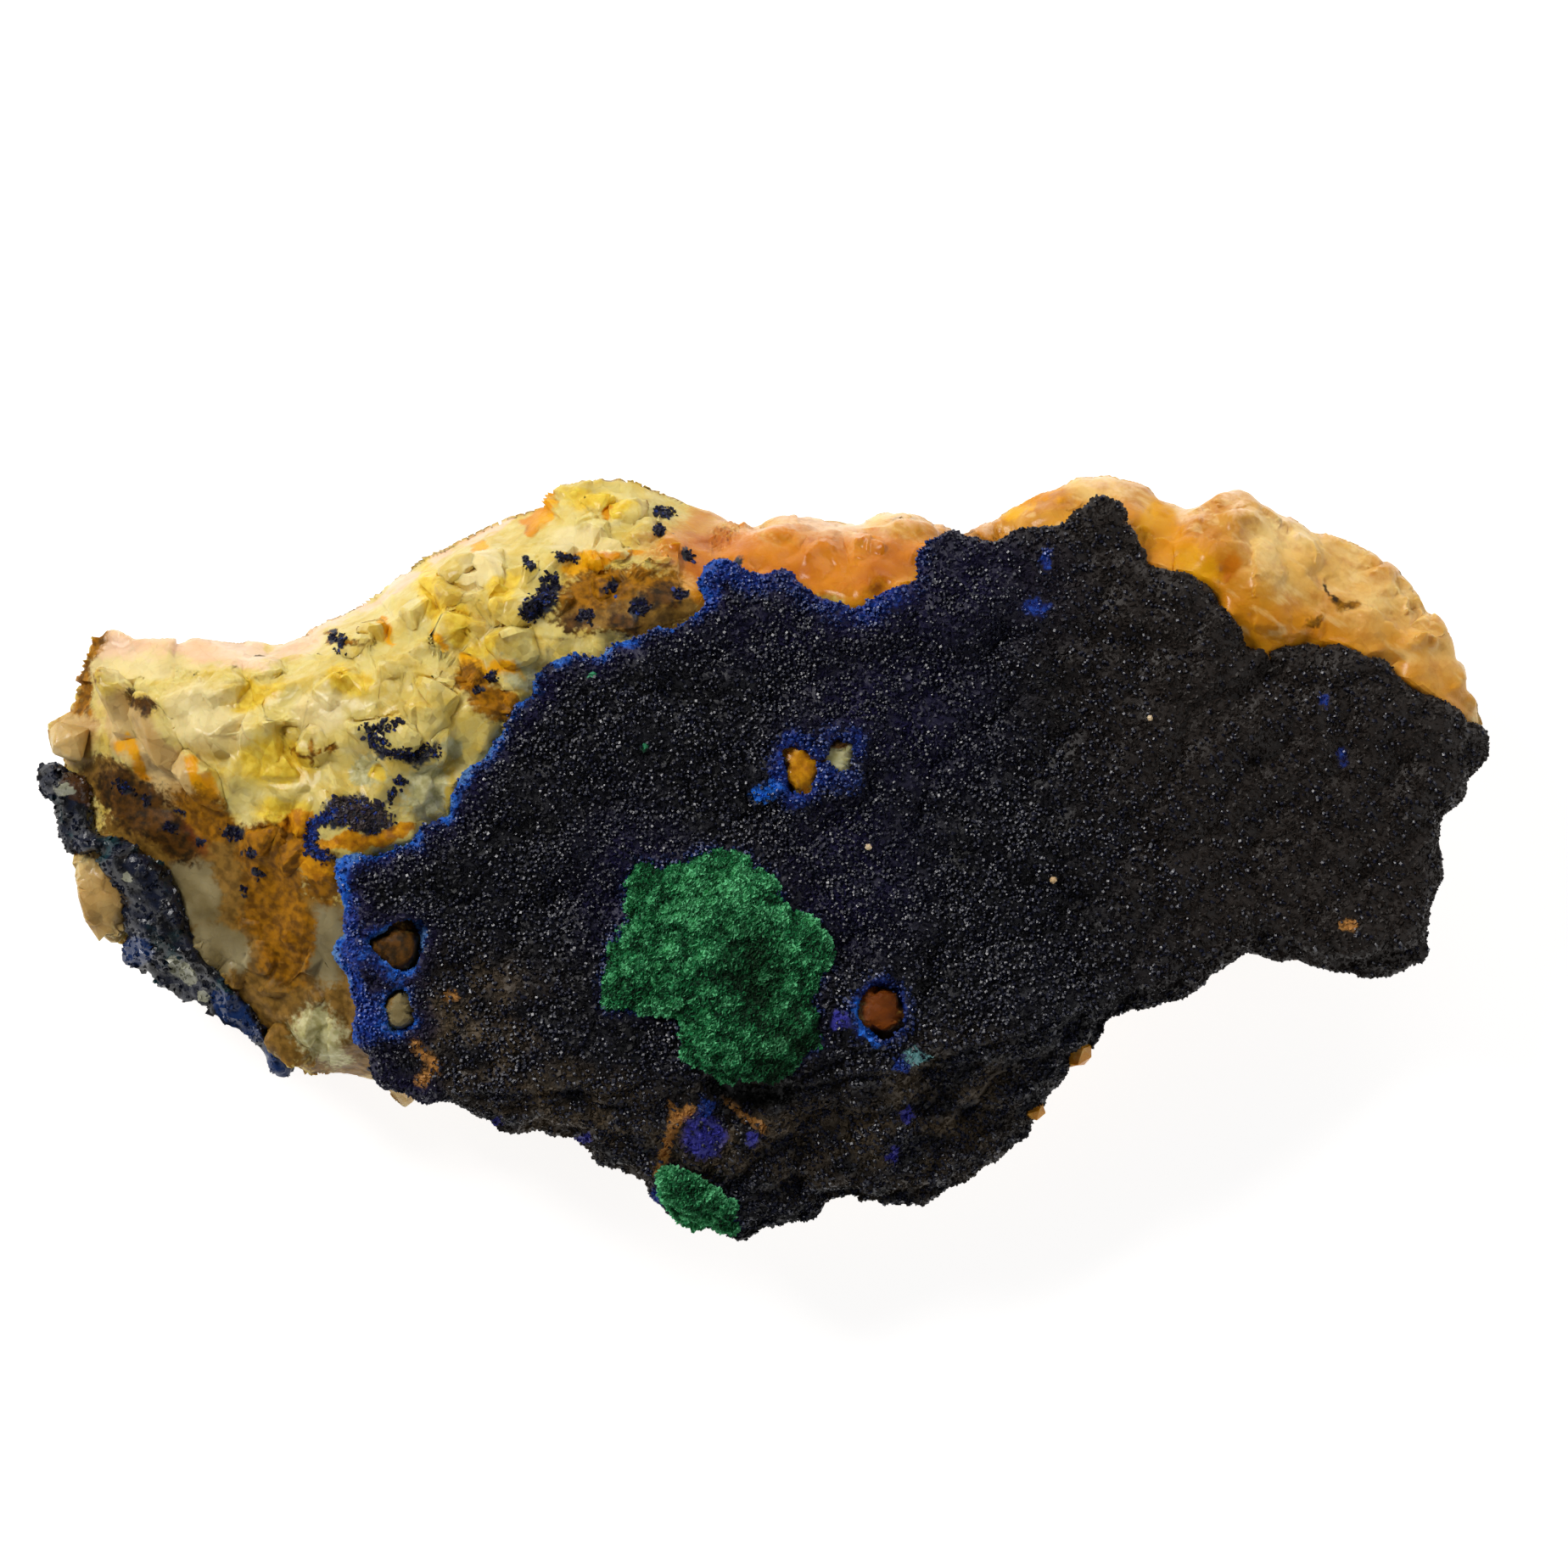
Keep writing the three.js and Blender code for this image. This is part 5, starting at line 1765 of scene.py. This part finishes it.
    def _stains(self, points: np.ndarray, normals: np.ndarray, seen: np.ndarray) -> Traits:
        """Finds where each stain of the rock lies.

        Args:
            points: Places of the rock's points.
            normals: Normals at them.
            seen: Whether each point shows from above.

        Returns:
            The stains' shares at the points, by name.
        """
        wandering = strayed(points, 0.7 * MM, 1.5 * MM, 41)
        upper = ease((points[:, 2] / MM - 3.5) / 5) * ease((normals[:, 2] + 0.5) / 0.5)
        lower = np.maximum(1 - upper, self.weathering * ease((-0.06 - normals[:, 2]) / 0.25))
        lower = np.maximum(lower, np.where(seen, 0, self.weathering))
        clouds = layered_noise(points, 7 * MM, 51)
        veins = layered_noise(points, 4.5 * MM, 52)
        traits = {name: zone(wandering, marks) * upper for name, marks in STAINS.items()}
        # Amber faces turned to +Y take the pale pink as a painted rim highlight
        rim_highlight = ease((normals[:, 1] - 0.8) / 0.18) * zone(points, STAINS["amber"]) * upper
        traits["blush_and_highlight"] = np.maximum(traits["blush_and_highlight"], 0.6 * rim_highlight)
        weathered = {
            "earth": ease((0.5 - veins) / 0.6),
            "rust": 0.8 * ease((clouds - 0.1) / 0.5),
            "grey": 0.8 * ease((-clouds - 0.25) / 0.4),
            "tan": 0.5 * ease((veins - 0.1) / 0.5),
            "brown": 0.8 * ease((layered_noise(points, 2.6 * MM, 53) - 0.3) / 0.4),
        }
        for name, share in weathered.items():
            traits[name] = np.maximum(traits[name], lower * share)
        traits["under"] = lower
        return traits

    def dress(self) -> None:
        """Finishes the rock."""
        self.form.shade(self.crease)
        self.form.dress(self.finish.material(), "quartz", "quartz_rock")


@dataclass(frozen=True)
class PaleGrain:
    """A tiny pale grain on the crust: its place and radius, in mm."""

    x: float
    y: float
    radius: float

    def over(self, height: float) -> Vector:
        """The grain's place at a height, in metres."""
        return Vector((self.x * MM, self.y * MM, height))


@dataclass
class AzuriteCrust:
    """The crust of azurite over most of the face."""

    spacing: float = 0.34 * MM
    first_rounds: int = 26
    wart: float = 2.9 * MM
    wart_radius: float = 1.7 * MM
    wart_rise: float = 0.42 * MM
    swell: float = 0.5 * MM
    swell_size: float = 5 * MM
    grit: float = 0.14 * MM
    grit_size: float = 1.1 * MM
    rim_rise: float = 0.2 * MM
    halo_reach: float = 0.9 * MM
    crystals: int = 60000
    glints: int = 22000
    sprinkled: int = 2200
    facing: Vector = Vector((-0.30, 0.28, 0.91))
    edge_level: float = 12 * MM
    sky_level: float = 50 * MM
    seed: int = 7
    pale_grains: tuple[PaleGrain, ...] = (
        PaleGrain(7.1, 0.64, 0.27),
        PaleGrain(19.8, -1.5, 0.3),
        PaleGrain(26.4, 9.5, 0.22),
    )
    edge_grains: tuple[PaleGrain, ...] = (
        PaleGrain(22.2, -13.5, 1.1),
        PaleGrain(21.6, -13.8, 0.8),
        PaleGrain(18.9, -17.3, 0.75),
    )
    finish: CrustFinish = CrustFinish()
    glint_finish: GlintFinish = GlintFinish()
    form: Form = field(init=False)
    druse: list[Form] = field(init=False)
    glitter: list[Form] = field(init=False)
    grains: list[Form] = field(init=False)
    traits: Traits = field(init=False)

    def build(self, node: bpy.types.Object, rock: QuartzRock, covers: list[BVHTree]) -> None:
        """Shapes the crust, colours it and grows its crystals.

        Args:
            node: The frame's solid.
            rock: The rock beside the crust.
            covers: Trees of the malachite that lies on the crust.
        """
        self.form = Form.copy_of(node, "crust_mass")
        self.form.remesh(self.spacing)
        self.form.soften(self.first_rounds)
        points = self.form.points
        in_plan = np.array([1, 1, 0])
        away = distance_to(points * in_plan, rock.open_points * in_plan)
        self.form.raise_by(self._relief(points, self.form.normals, away))
        self.traits = self._colours(self.form.points, away, covers)
        self.form.store(self.traits)
        self._grow(covers)
        self._glitter(covers)
        self._sprinkle(rock)
        self._scatter()

    def _relief(self, points: np.ndarray, normals: np.ndarray, away: np.ndarray) -> np.ndarray:
        """Soft lumps, the raised rim and the step down to the lower flank.

        Args:
            points: Places of the crust's points.
            normals: Normals at them.
            away: Their distance in plan from the rock that shows.

        Returns:
            Heights, (n,), in metres.
        """
        warts = 1 - (bud_distance(points, self.wart, 63) / self.wart_radius) ** 2
        heights = self.swell * layered_noise(points, self.swell_size, 61) + self.wart_rise * warts
        heights += self.grit * layered_noise(points, self.grit_size, 62)
        heights += self.rim_rise * ease(1.4 - away / MM)
        x = points[:, 0] / MM
        past = np.interp(x, *zip(*LEDGE)) + 0.6 * layered_noise(points, 3 * MM, 64) - points[:, 1] / MM
        step = 0.7 * ease(past / 1.4) + 0.5 * ease(1 - np.abs(past - 0.3) / 0.6)
        step += 0.8 * zone(points, SHADOWED_PIT)
        brink = MM * ease(1.6 - away / MM) * ease((0.8 - normals[:, 2]) / 0.4)
        heights += brink * (0.22 - 0.46 * zone(points, MOUTHS) + 0.75 * zone(points, LOBES))
        return heights - step * MM * ease((normals[:, 2] - 0.3) / 0.4)

    def _colours(self, points: np.ndarray, away: np.ndarray, covers: list[BVHTree]) -> Traits:
        """Finds where each colour of the crust lies.

        Args:
            points: Places of the crust's points.
            away: Their distance in plan from the rock that shows.
            covers: Trees of the malachite.

        Returns:
            The colours' shares at the points, by name.
        """
        wandering = strayed(points, 0.5 * MM, 0.9 * MM, 71)
        ragged = away / MM + 0.3 * layered_noise(points, 0.9 * MM, 72)
        x = points[:, 0] / MM
        y = points[:, 1] / MM
        left = ease((1 - x) / 6)
        middle = ease((x + 6) / 5) * ease((15 - x) / 6)
        windows = zone(points, WINDOWS)
        far = ease((-24 - x) / 4)
        reach = (0.25 + 0.5 * left + 1.1 * middle + 0.25 * far) * (1 - windows) + 1.05 * windows
        rim = ease(1.3 - ragged / reach) * (0.75 + 0.5 * layered_noise(points, 2.6 * MM, 73))
        corner = ease((-12.4 - y) / 1.2)
        strength = np.clip(0.1 + 0.7 * left + 0.65 * middle + 0.2 * far + windows - corner, 0, 1)
        edge = left * (1 - corner) * (1 - 0.5 * windows)
        gap = np.array([min(tree.find_nearest(Vector(point))[3] for tree in covers) for point in points])
        halo = ease(1 - gap / self.halo_reach)
        painted = {name: zone(wandering, marks) for name, marks in CRUST.items()}
        return painted | {
            "cobalt": np.maximum.reduce([rim * strength, painted["cobalt"], 0.35 * halo]),
            "azure": np.maximum(painted["azure"], 0.75 * edge * ease(1.4 - ragged / 0.6)),
            # A pale line on the left free edge: partly its own blue, partly a painted highlight where the
            # edge sits in shade
            "steel": edge * ease(1.3 - ragged / 0.36),
            # The dip under the malachite is painted black as its shadow
            "pit": zone(points, SHADOWED_PIT),
            "dusk": np.maximum.reduce([painted["dusk"], 0.8 * halo, left * ease(1.4 - ragged / 1.6)]),
            "dusting": zone(strayed(points, 0.2 * MM, 0.6 * MM, 74), DUSTING),
            "olive": ease((x - 12 + 0.3 * y) / 22),
        }

    def _grow(self, covers: list[BVHTree]) -> None:
        """Grows the dull fine crystals.

        Args:
            covers: Trees of the malachite that lies on the crust.
        """
        random = np.random.default_rng(self.seed)
        shown = ease((self.form.normals[:, 2] + 0.35) / 0.4)
        self.traits["upward"] = ease(self.form.normals[:, 2] / 0.5)
        sites = Sites.on(self.form, self.traits, shown, self.crystals, random)
        sites = sites.part(under_open_sky(sites.points, covers))
        count = len(sites.points)
        length = (0.24 + 0.3 * random.random(count) ** 2) * (1 - 0.2 * sites.traits["olive"])
        length = length * (1 - 0.3 * sites.traits["cobalt"]) * (0.5 + 0.5 * sites.traits.pop("upward"))
        height = 0.35 + 0.55 * random.random(count)
        sizes = length[:, None] * np.stack([np.ones(count), np.full(count, 0.68), height], axis=1) * MM
        growth = Growth(CrystalShape.modelled(Habit.BLADE), lean=0.35)
        self.druse = growth.grow("druse", sites, sizes, random)

    def _glitter(self, covers: list[BVHTree]) -> None:
        """Grows glassy crystals, which lean alike so that many flash together.

        Args:
            covers: Trees of the malachite that lies on the crust.
        """
        random = np.random.default_rng(self.seed + 1)
        points = self.form.points
        dull = (1 - 0.8 * self.traits["olive"]) * (1 - 0.2 * self.traits["earthy"])
        for name, share in (("pit", 1), ("steel", 1), ("violet", 0.7), ("dusting", 0.7)):
            dull = dull * (1 - share * self.traits[name])
        clumps = ease((layered_noise(points, 1.8 * MM, 66) + 0.45) / 0.8)
        shown = ease((self.form.normals[:, 2] - 0.2) / 0.5) * dull * (0.25 + 0.75 * clumps)
        sites = Sites.on(self.form, self.traits, shown, self.glints, random)
        sites = sites.part(under_open_sky(sites.points, covers))
        count = len(sites.points)
        sites.traits["chance"] = random.random(count)
        sites.normals = 0.2 * (sites.normals - np.array(UP)) + np.array(self.facing)
        sites.normals /= np.linalg.norm(sites.normals, axis=1, keepdims=True)
        width = 0.13 + 0.12 * random.random(count) ** 2
        depth = width * (0.6 + 0.4 * random.random(count))
        sizes = np.stack([width, depth, 0.36 + 0.2 * random.random(count)], axis=1) * MM
        growth = Growth(CrystalShape.modelled(Habit.PRISM), lean=0.17, uneven=0.04, limit=16000)
        self.glitter = growth.grow("glints", sites, sizes, random)

    def _sprinkle(self, rock: QuartzRock) -> None:
        """Grows the azurite crystals that sit apart from the crust, on the rock.

        Args:
            rock: The rock.
        """
        random = np.random.default_rng(self.seed + 3)
        points = rock.form.points
        shown = zone(points, STAINS["navy"]) ** 2 * ease((rock.form.normals[:, 2] - 0.1) / 0.3)
        sites = Sites.on(rock.form, {}, shown, self.sprinkled, random)
        count = len(sites.points)
        sites.traits = {
            "dusk": np.full(count, 0.4),
            "cobalt": 0.7 * random.random(count) ** 4 + 0.5 * TRIM.weight(sites.points),
            "earthy": INCLUSION.weight(sites.points),
        }
        length = 0.18 + 0.24 * random.random(count) ** 2
        sizes = length[:, None] * np.array([1, 0.7, 0.7]) * MM
        growth = Growth(CrystalShape.modelled(Habit.BLADE), lean=0.5)
        self.druse += growth.grow("sprinkled_azurite", sites, sizes, random)

    def _scatter(self) -> None:
        """Sets the pale grains on the crust, and the tan ones at its lower edge."""
        random = np.random.default_rng(self.seed + 2)
        tree = self.form.tree()
        places = [tree.ray_cast(grain.over(self.sky_level), -UP)[0] for grain in self.pale_grains]
        for grain in self.edge_grains:
            level = tree.find_nearest(grain.over(self.edge_level))[0].z
            places.append(grain.over(level))
        grains = self.pale_grains + self.edge_grains
        on_edge = np.arange(len(grains)) >= len(self.pale_grains)
        normals = np.tile(np.array(UP), (len(grains), 1))
        traits = {"blush_and_highlight": np.where(on_edge, 0, 1.0), "amber": np.where(on_edge, 1.0, 0)}
        sites = Sites(np.array(places), normals, traits)
        sizes = 2 * MM * np.array([[grain.radius] * 3 for grain in grains])
        growth = Growth(CrystalShape.modelled(Habit.GRAIN), lean=0.6, sink=-0.1)
        self.grains = growth.grow("pale_grains", sites, sizes, random)

    def dress(self, pale: bpy.types.Material) -> None:
        """Finishes the crust and its crystals.

        Args:
            pale: Finish of the pale grains.
        """
        self.form.shade()
        dull = self.finish.material()
        self.form.dress(dull, "azurite", "azurite_crust")
        glassy = self.glint_finish.material()
        for part in self.druse:
            part.dress(dull, "azurite")
        for part in self.glitter:
            part.dress(glassy, "azurite")
        for part in self.grains:
            part.dress(pale, "quartz")


@dataclass
class MalachitePatch:
    """A velvety green patch on the crust."""

    node_name: str
    name: str
    spacing: float = 0.19 * MM
    first_rounds: int = 10
    bud: float = 1.3 * MM
    bud_radius: float = 0.9 * MM
    fibres: int = 20000
    seed: int = 17
    finish: MalachiteFinish = MalachiteFinish()
    # Spots painted lighter as lit and darker as shaded, as painted light and painted shade
    bright: Marks = spots((-3.4, -3, 3.2, 2.6, 20), (-2.6, -22.6, 1.6, 1.2))
    shade: Marks = spots(
        (3, -11.5, 1.8, 3.4, 10, 0.7), (-1.6, -9, 1.6, 3, 10, 0.9), (0.4, -15, 4, 1.2, 0, 0.7),
        (-10.4, -10, 1.4, 1, 0, 0.7),
    )
    moss: Marks = spots((-0.8, -8, 1.8, 3.4, 10, 0.9), (1.8, -13.4, 2.4, 3, 0, 0.9))
    spread: Marks = spots((-7.2, -22.8, 1.4, 1.8))
    form: Form = field(init=False)
    velvet: list[Form] = field(init=False)

    def build(self, node: bpy.types.Object, material: bpy.types.Material) -> None:
        """Shapes the patch and grows its fibres.

        Args:
            node: The frame's solid.
            material: Its finish.
        """
        self.form = Form.copy_of(node, self.name)
        self.form.remesh(self.spacing)
        self.form.smooth(self.first_rounds)
        points = self.form.points
        domes = ease(1 - bud_distance(points, self.bud, 81) / self.bud_radius)
        heights = 0.2 * (domes - 0.4) + 0.32 * layered_noise(points, 1 * MM, 82)
        heights += 0.24 * layered_noise(points, 0.45 * MM, 83)
        heights += (0.12 + 0.45 * zone(points, self.spread)) * ease((0.6 - self.form.normals[:, 2]) / 0.5)
        self.form.raise_by((heights + 0.1) * MM)
        points = self.form.points
        traits = {
            "bright": zone(points, self.bright),
            "shade": zone(points, self.shade),
            "moss": zone(strayed(points, 0.5 * MM, 1.5 * MM, 85), self.moss),
            # The ground between the fibres takes a low tone, painted shade in the gaps
            "chance": np.full(len(points), 0.1),
            # Height share for painting crests lighter and dips darker as light and shade
            "crest": ease(0.5 + heights / 0.7),
        }
        self.form.store(traits)
        self._grow(traits)
        self.form.shade()
        self.form.dress(material, "malachite", self.node_name)
        for part in self.velvet:
            part.dress(material, "malachite")

    def _grow(self, traits: Traits) -> None:
        """Grows the short fibres.

        Args:
            traits: Numbers of the patch's points, by name.
        """
        random = np.random.default_rng(self.seed)
        shown = ease((self.form.normals[:, 2] - 0.05) / 0.4)
        sites = Sites.on(self.form, traits, shown, self.fibres, random)
        count = len(sites.points)
        sites.traits["chance"] = random.random(count)
        length = 0.16 + 0.22 * random.random(count)
        height = 0.2 + 0.26 * random.random(count)
        sizes = np.stack([length, np.full(count, 0.13), height], axis=1) * MM
        turn = math.radians(self.finish.turn)
        along = Vector((math.cos(turn), math.sin(turn), 0))
        growth = Growth(CrystalShape.modelled(Habit.BLADE), lean=0.45, along=along)
        self.velvet = growth.grow(f"{self.name}_fibres", sites, sizes, random)


@dataclass
class AzuriteSeam:
    """The narrow dark seam along the lower left edge."""

    spacing: float = 0.24 * MM
    first_rounds: int = 6
    last_rounds: int = 4
    lump: float = 2.2 * MM
    grit: float = 0.14 * MM
    crystals: int = 900
    seed: int = 27
    crease: float = 30
    finish: SeamFinish = SeamFinish()
    blue: Marks = spots((-36.5, -11, 2.4, 0.8, -45), (-33.6, -14.2, 1.4, 0.8, -60), (-43.4, -6.5, 1.2, 1))
    brown: Marks = spots((-46.8, 4.6, 2, 1.2, -20), (-44, 1.8, 2, 0.8, -30), (-36, -9, 1, 0.7))
    glass: Marks = spots(
        (-40.2, -7.9, 1.4, 0.6, -50), (-38.8, -9.6, 0.5, 0.4, -40), (-48.4, 4.6, 0.7, 0.5),
        (-43.8, -1.6, 0.4, 0.3),
    )
    form: Form = field(init=False)
    druse: list[Form] = field(init=False)

    def build(self, node: bpy.types.Object) -> None:
        """Shapes the seam and grows its crystals.

        Args:
            node: The frame's solid.
        """
        self.form = Form.copy_of(node, "seam_mass")
        self.form.remesh(self.spacing)
        self.form.smooth(self.first_rounds)
        points = self.form.points
        lumps = Blocks.over(points, self.lump, 91)
        self.form.raise_by(0.65 * lumps.heights + self.grit * layered_noise(points, 0.9 * MM, 92))
        self.form.smooth(self.last_rounds)
        points = self.form.points
        wandering = strayed(points, 0.4 * MM, 0.9 * MM, 93)
        traits = {
            "blue": zone(wandering, self.blue),
            "brown": zone(wandering, self.brown),
            "glass": zone(wandering, self.glass),
        }
        self.form.store(traits)
        self._grow(traits)

    def _grow(self, traits: Traits) -> None:
        """Grows the seam's crystals.

        Args:
            traits: Numbers of the seam's points, by name.
        """
        random = np.random.default_rng(self.seed)
        shown = ease((self.form.normals[:, 2] + 0.5) / 0.6)
        sites = Sites.on(self.form, traits, shown, self.crystals, random)
        count = len(sites.points)
        length = 0.2 + 0.4 * random.random(count) ** 3
        sizes = length[:, None] * np.array([1, 0.6, 0.6]) * MM
        growth = Growth(CrystalShape.modelled(Habit.BLADE), lean=0.5)
        self.druse = growth.grow("seam_crystals", sites, sizes, random)

    def dress(self) -> None:
        """Finishes the seam and its crystals."""
        material = self.finish.material()
        self.form.shade(self.crease)
        self.form.dress(material, "seam_azurite", "azurite_seam")
        for part in self.druse:
            part.dress(material, "seam_azurite")


@dataclass(frozen=True)
class Lamp:
    """A soft square light that faces the specimen.

    Attributes:
        name: Its name.
        place: Where it hangs, in metres.
        width: Its width, in metres.
        power: Its power, in watts.
        colour: Its colour.
    """

    name: str
    place: tuple[float, float, float]
    width: float
    power: float
    colour: Colour

    def hang(self) -> None:
        """Hangs the light."""
        facing = (-Vector(self.place)).to_track_quat("-Z", "Y").to_euler()
        bpy.ops.object.light_add(type="AREA", location=self.place, rotation=facing)
        light = bpy.context.active_object
        light.name = f"{self.name}_light"
        light.data.size = self.width
        light.data.energy = self.power
        light.data.color = self.colour


@dataclass
class Studio:
    """The pale floor, the soft lights and the camera."""

    floor_width: float = 3.0
    floor_level: float = -0.02 * MM
    lamps: tuple[Lamp, ...] = (
        Lamp("key", (-0.55, 0.52, 0.66), 0.36, 7.2, (1.0, 0.98, 0.95)),
        Lamp("fill", (0.75, -0.35, 0.7), 0.9, 2.4, (0.97, 0.98, 1.0)),
        Lamp("back", (0.2, 0.85, 0.5), 0.5, 1.8, (1.0, 0.99, 0.97)),
    )
    camera_place: tuple[float, float, float] = (1.3 * MM, 5.0 * MM, 2175 * MM)
    lens: float = 720
    sensor: float = 36
    nearest: float = 0.01
    zenith: Colour = (0.05, 0.05, 0.05)
    horizon: Colour = (0.62, 0.61, 0.6)
    dusk: tuple[float, float] = (0.1, 0.5)
    finish: FloorFinish = FloorFinish()

    def build(self) -> None:
        """Sets the stage."""
        self._floor()
        for lamp in self.lamps:
            lamp.hang()
        self._world()
        self._camera()

    def _floor(self) -> None:
        """Lays the floor."""
        bpy.ops.object.select_all(action="DESELECT")
        bpy.ops.mesh.primitive_plane_add(size=self.floor_width, location=(0, 0, self.floor_level))
        floor = bpy.context.active_object
        floor.name = "floor"
        floor.data.materials.append(self.finish.material())

    def _world(self) -> None:
        """Surrounds the stage with light that is pale at the horizon and dark overhead."""
        world = bpy.data.worlds.new("studio")
        world.use_nodes = True
        sky = Wiring(world.node_tree)
        low, high = self.dusk
        direction = sky.node("ShaderNodeTexCoord").outputs["Generated"]
        rise = sky.node("ShaderNodeSeparateXYZ", None, {0: direction}).outputs["Z"]
        share = sky.node("ShaderNodeMapRange", None, {"Value": rise, "From Min": low, "From Max": high})
        colours = {0: share.outputs[0], 6: self.horizon, 7: self.zenith}
        mixed = sky.node("ShaderNodeMix", {"data_type": "RGBA"}, colours)
        sky.plug(sky.tree.nodes["Background"].inputs["Color"], mixed.outputs[2])
        bpy.context.scene.world = world
        bpy.context.scene.view_settings.view_transform = "Standard"

    def _camera(self) -> None:
        """Sets the camera straight over the specimen."""
        data = bpy.data.cameras.new("camera")
        data.lens = self.lens
        data.sensor_width = self.sensor
        data.clip_start = self.nearest
        camera = bpy.data.objects.new("camera", data)
        camera.location = self.camera_place
        bpy.context.scene.collection.objects.link(camera)
        bpy.context.scene.camera = camera


def main() -> None:
    """Builds the specimen and its stage."""
    logging.basicConfig(level=logging.INFO, format="%(name)s %(message)s")
    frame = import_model()
    nodes = frame["nodes"]
    trees = {name: solid_tree(node) for name, node in nodes.items() if name != "quartz_rock"}

    rock = QuartzRock()
    rock.build(nodes["quartz_rock"], list(trees.values()), trees["azurite_crust"])
    rock.dress()
    green = MalachiteFinish().material()
    upper = MalachitePatch("malachite_patch", "velvet_patch")
    upper.build(nodes["malachite_patch"], green)
    lower = MalachitePatch("lower_malachite_patch", "lower_velvet_patch", fibres=2400)
    lower.build(nodes["lower_malachite_patch"], green)
    crust = AzuriteCrust()
    crust.build(nodes["azurite_crust"], rock, [upper.form.tree(), lower.form.tree()])
    crust.dress(rock.form.piece.active_material)
    seam = AzuriteSeam()
    seam.build(nodes["azurite_seam"])
    seam.dress()
    Studio().build()


if __name__ == "__main__":
    main()
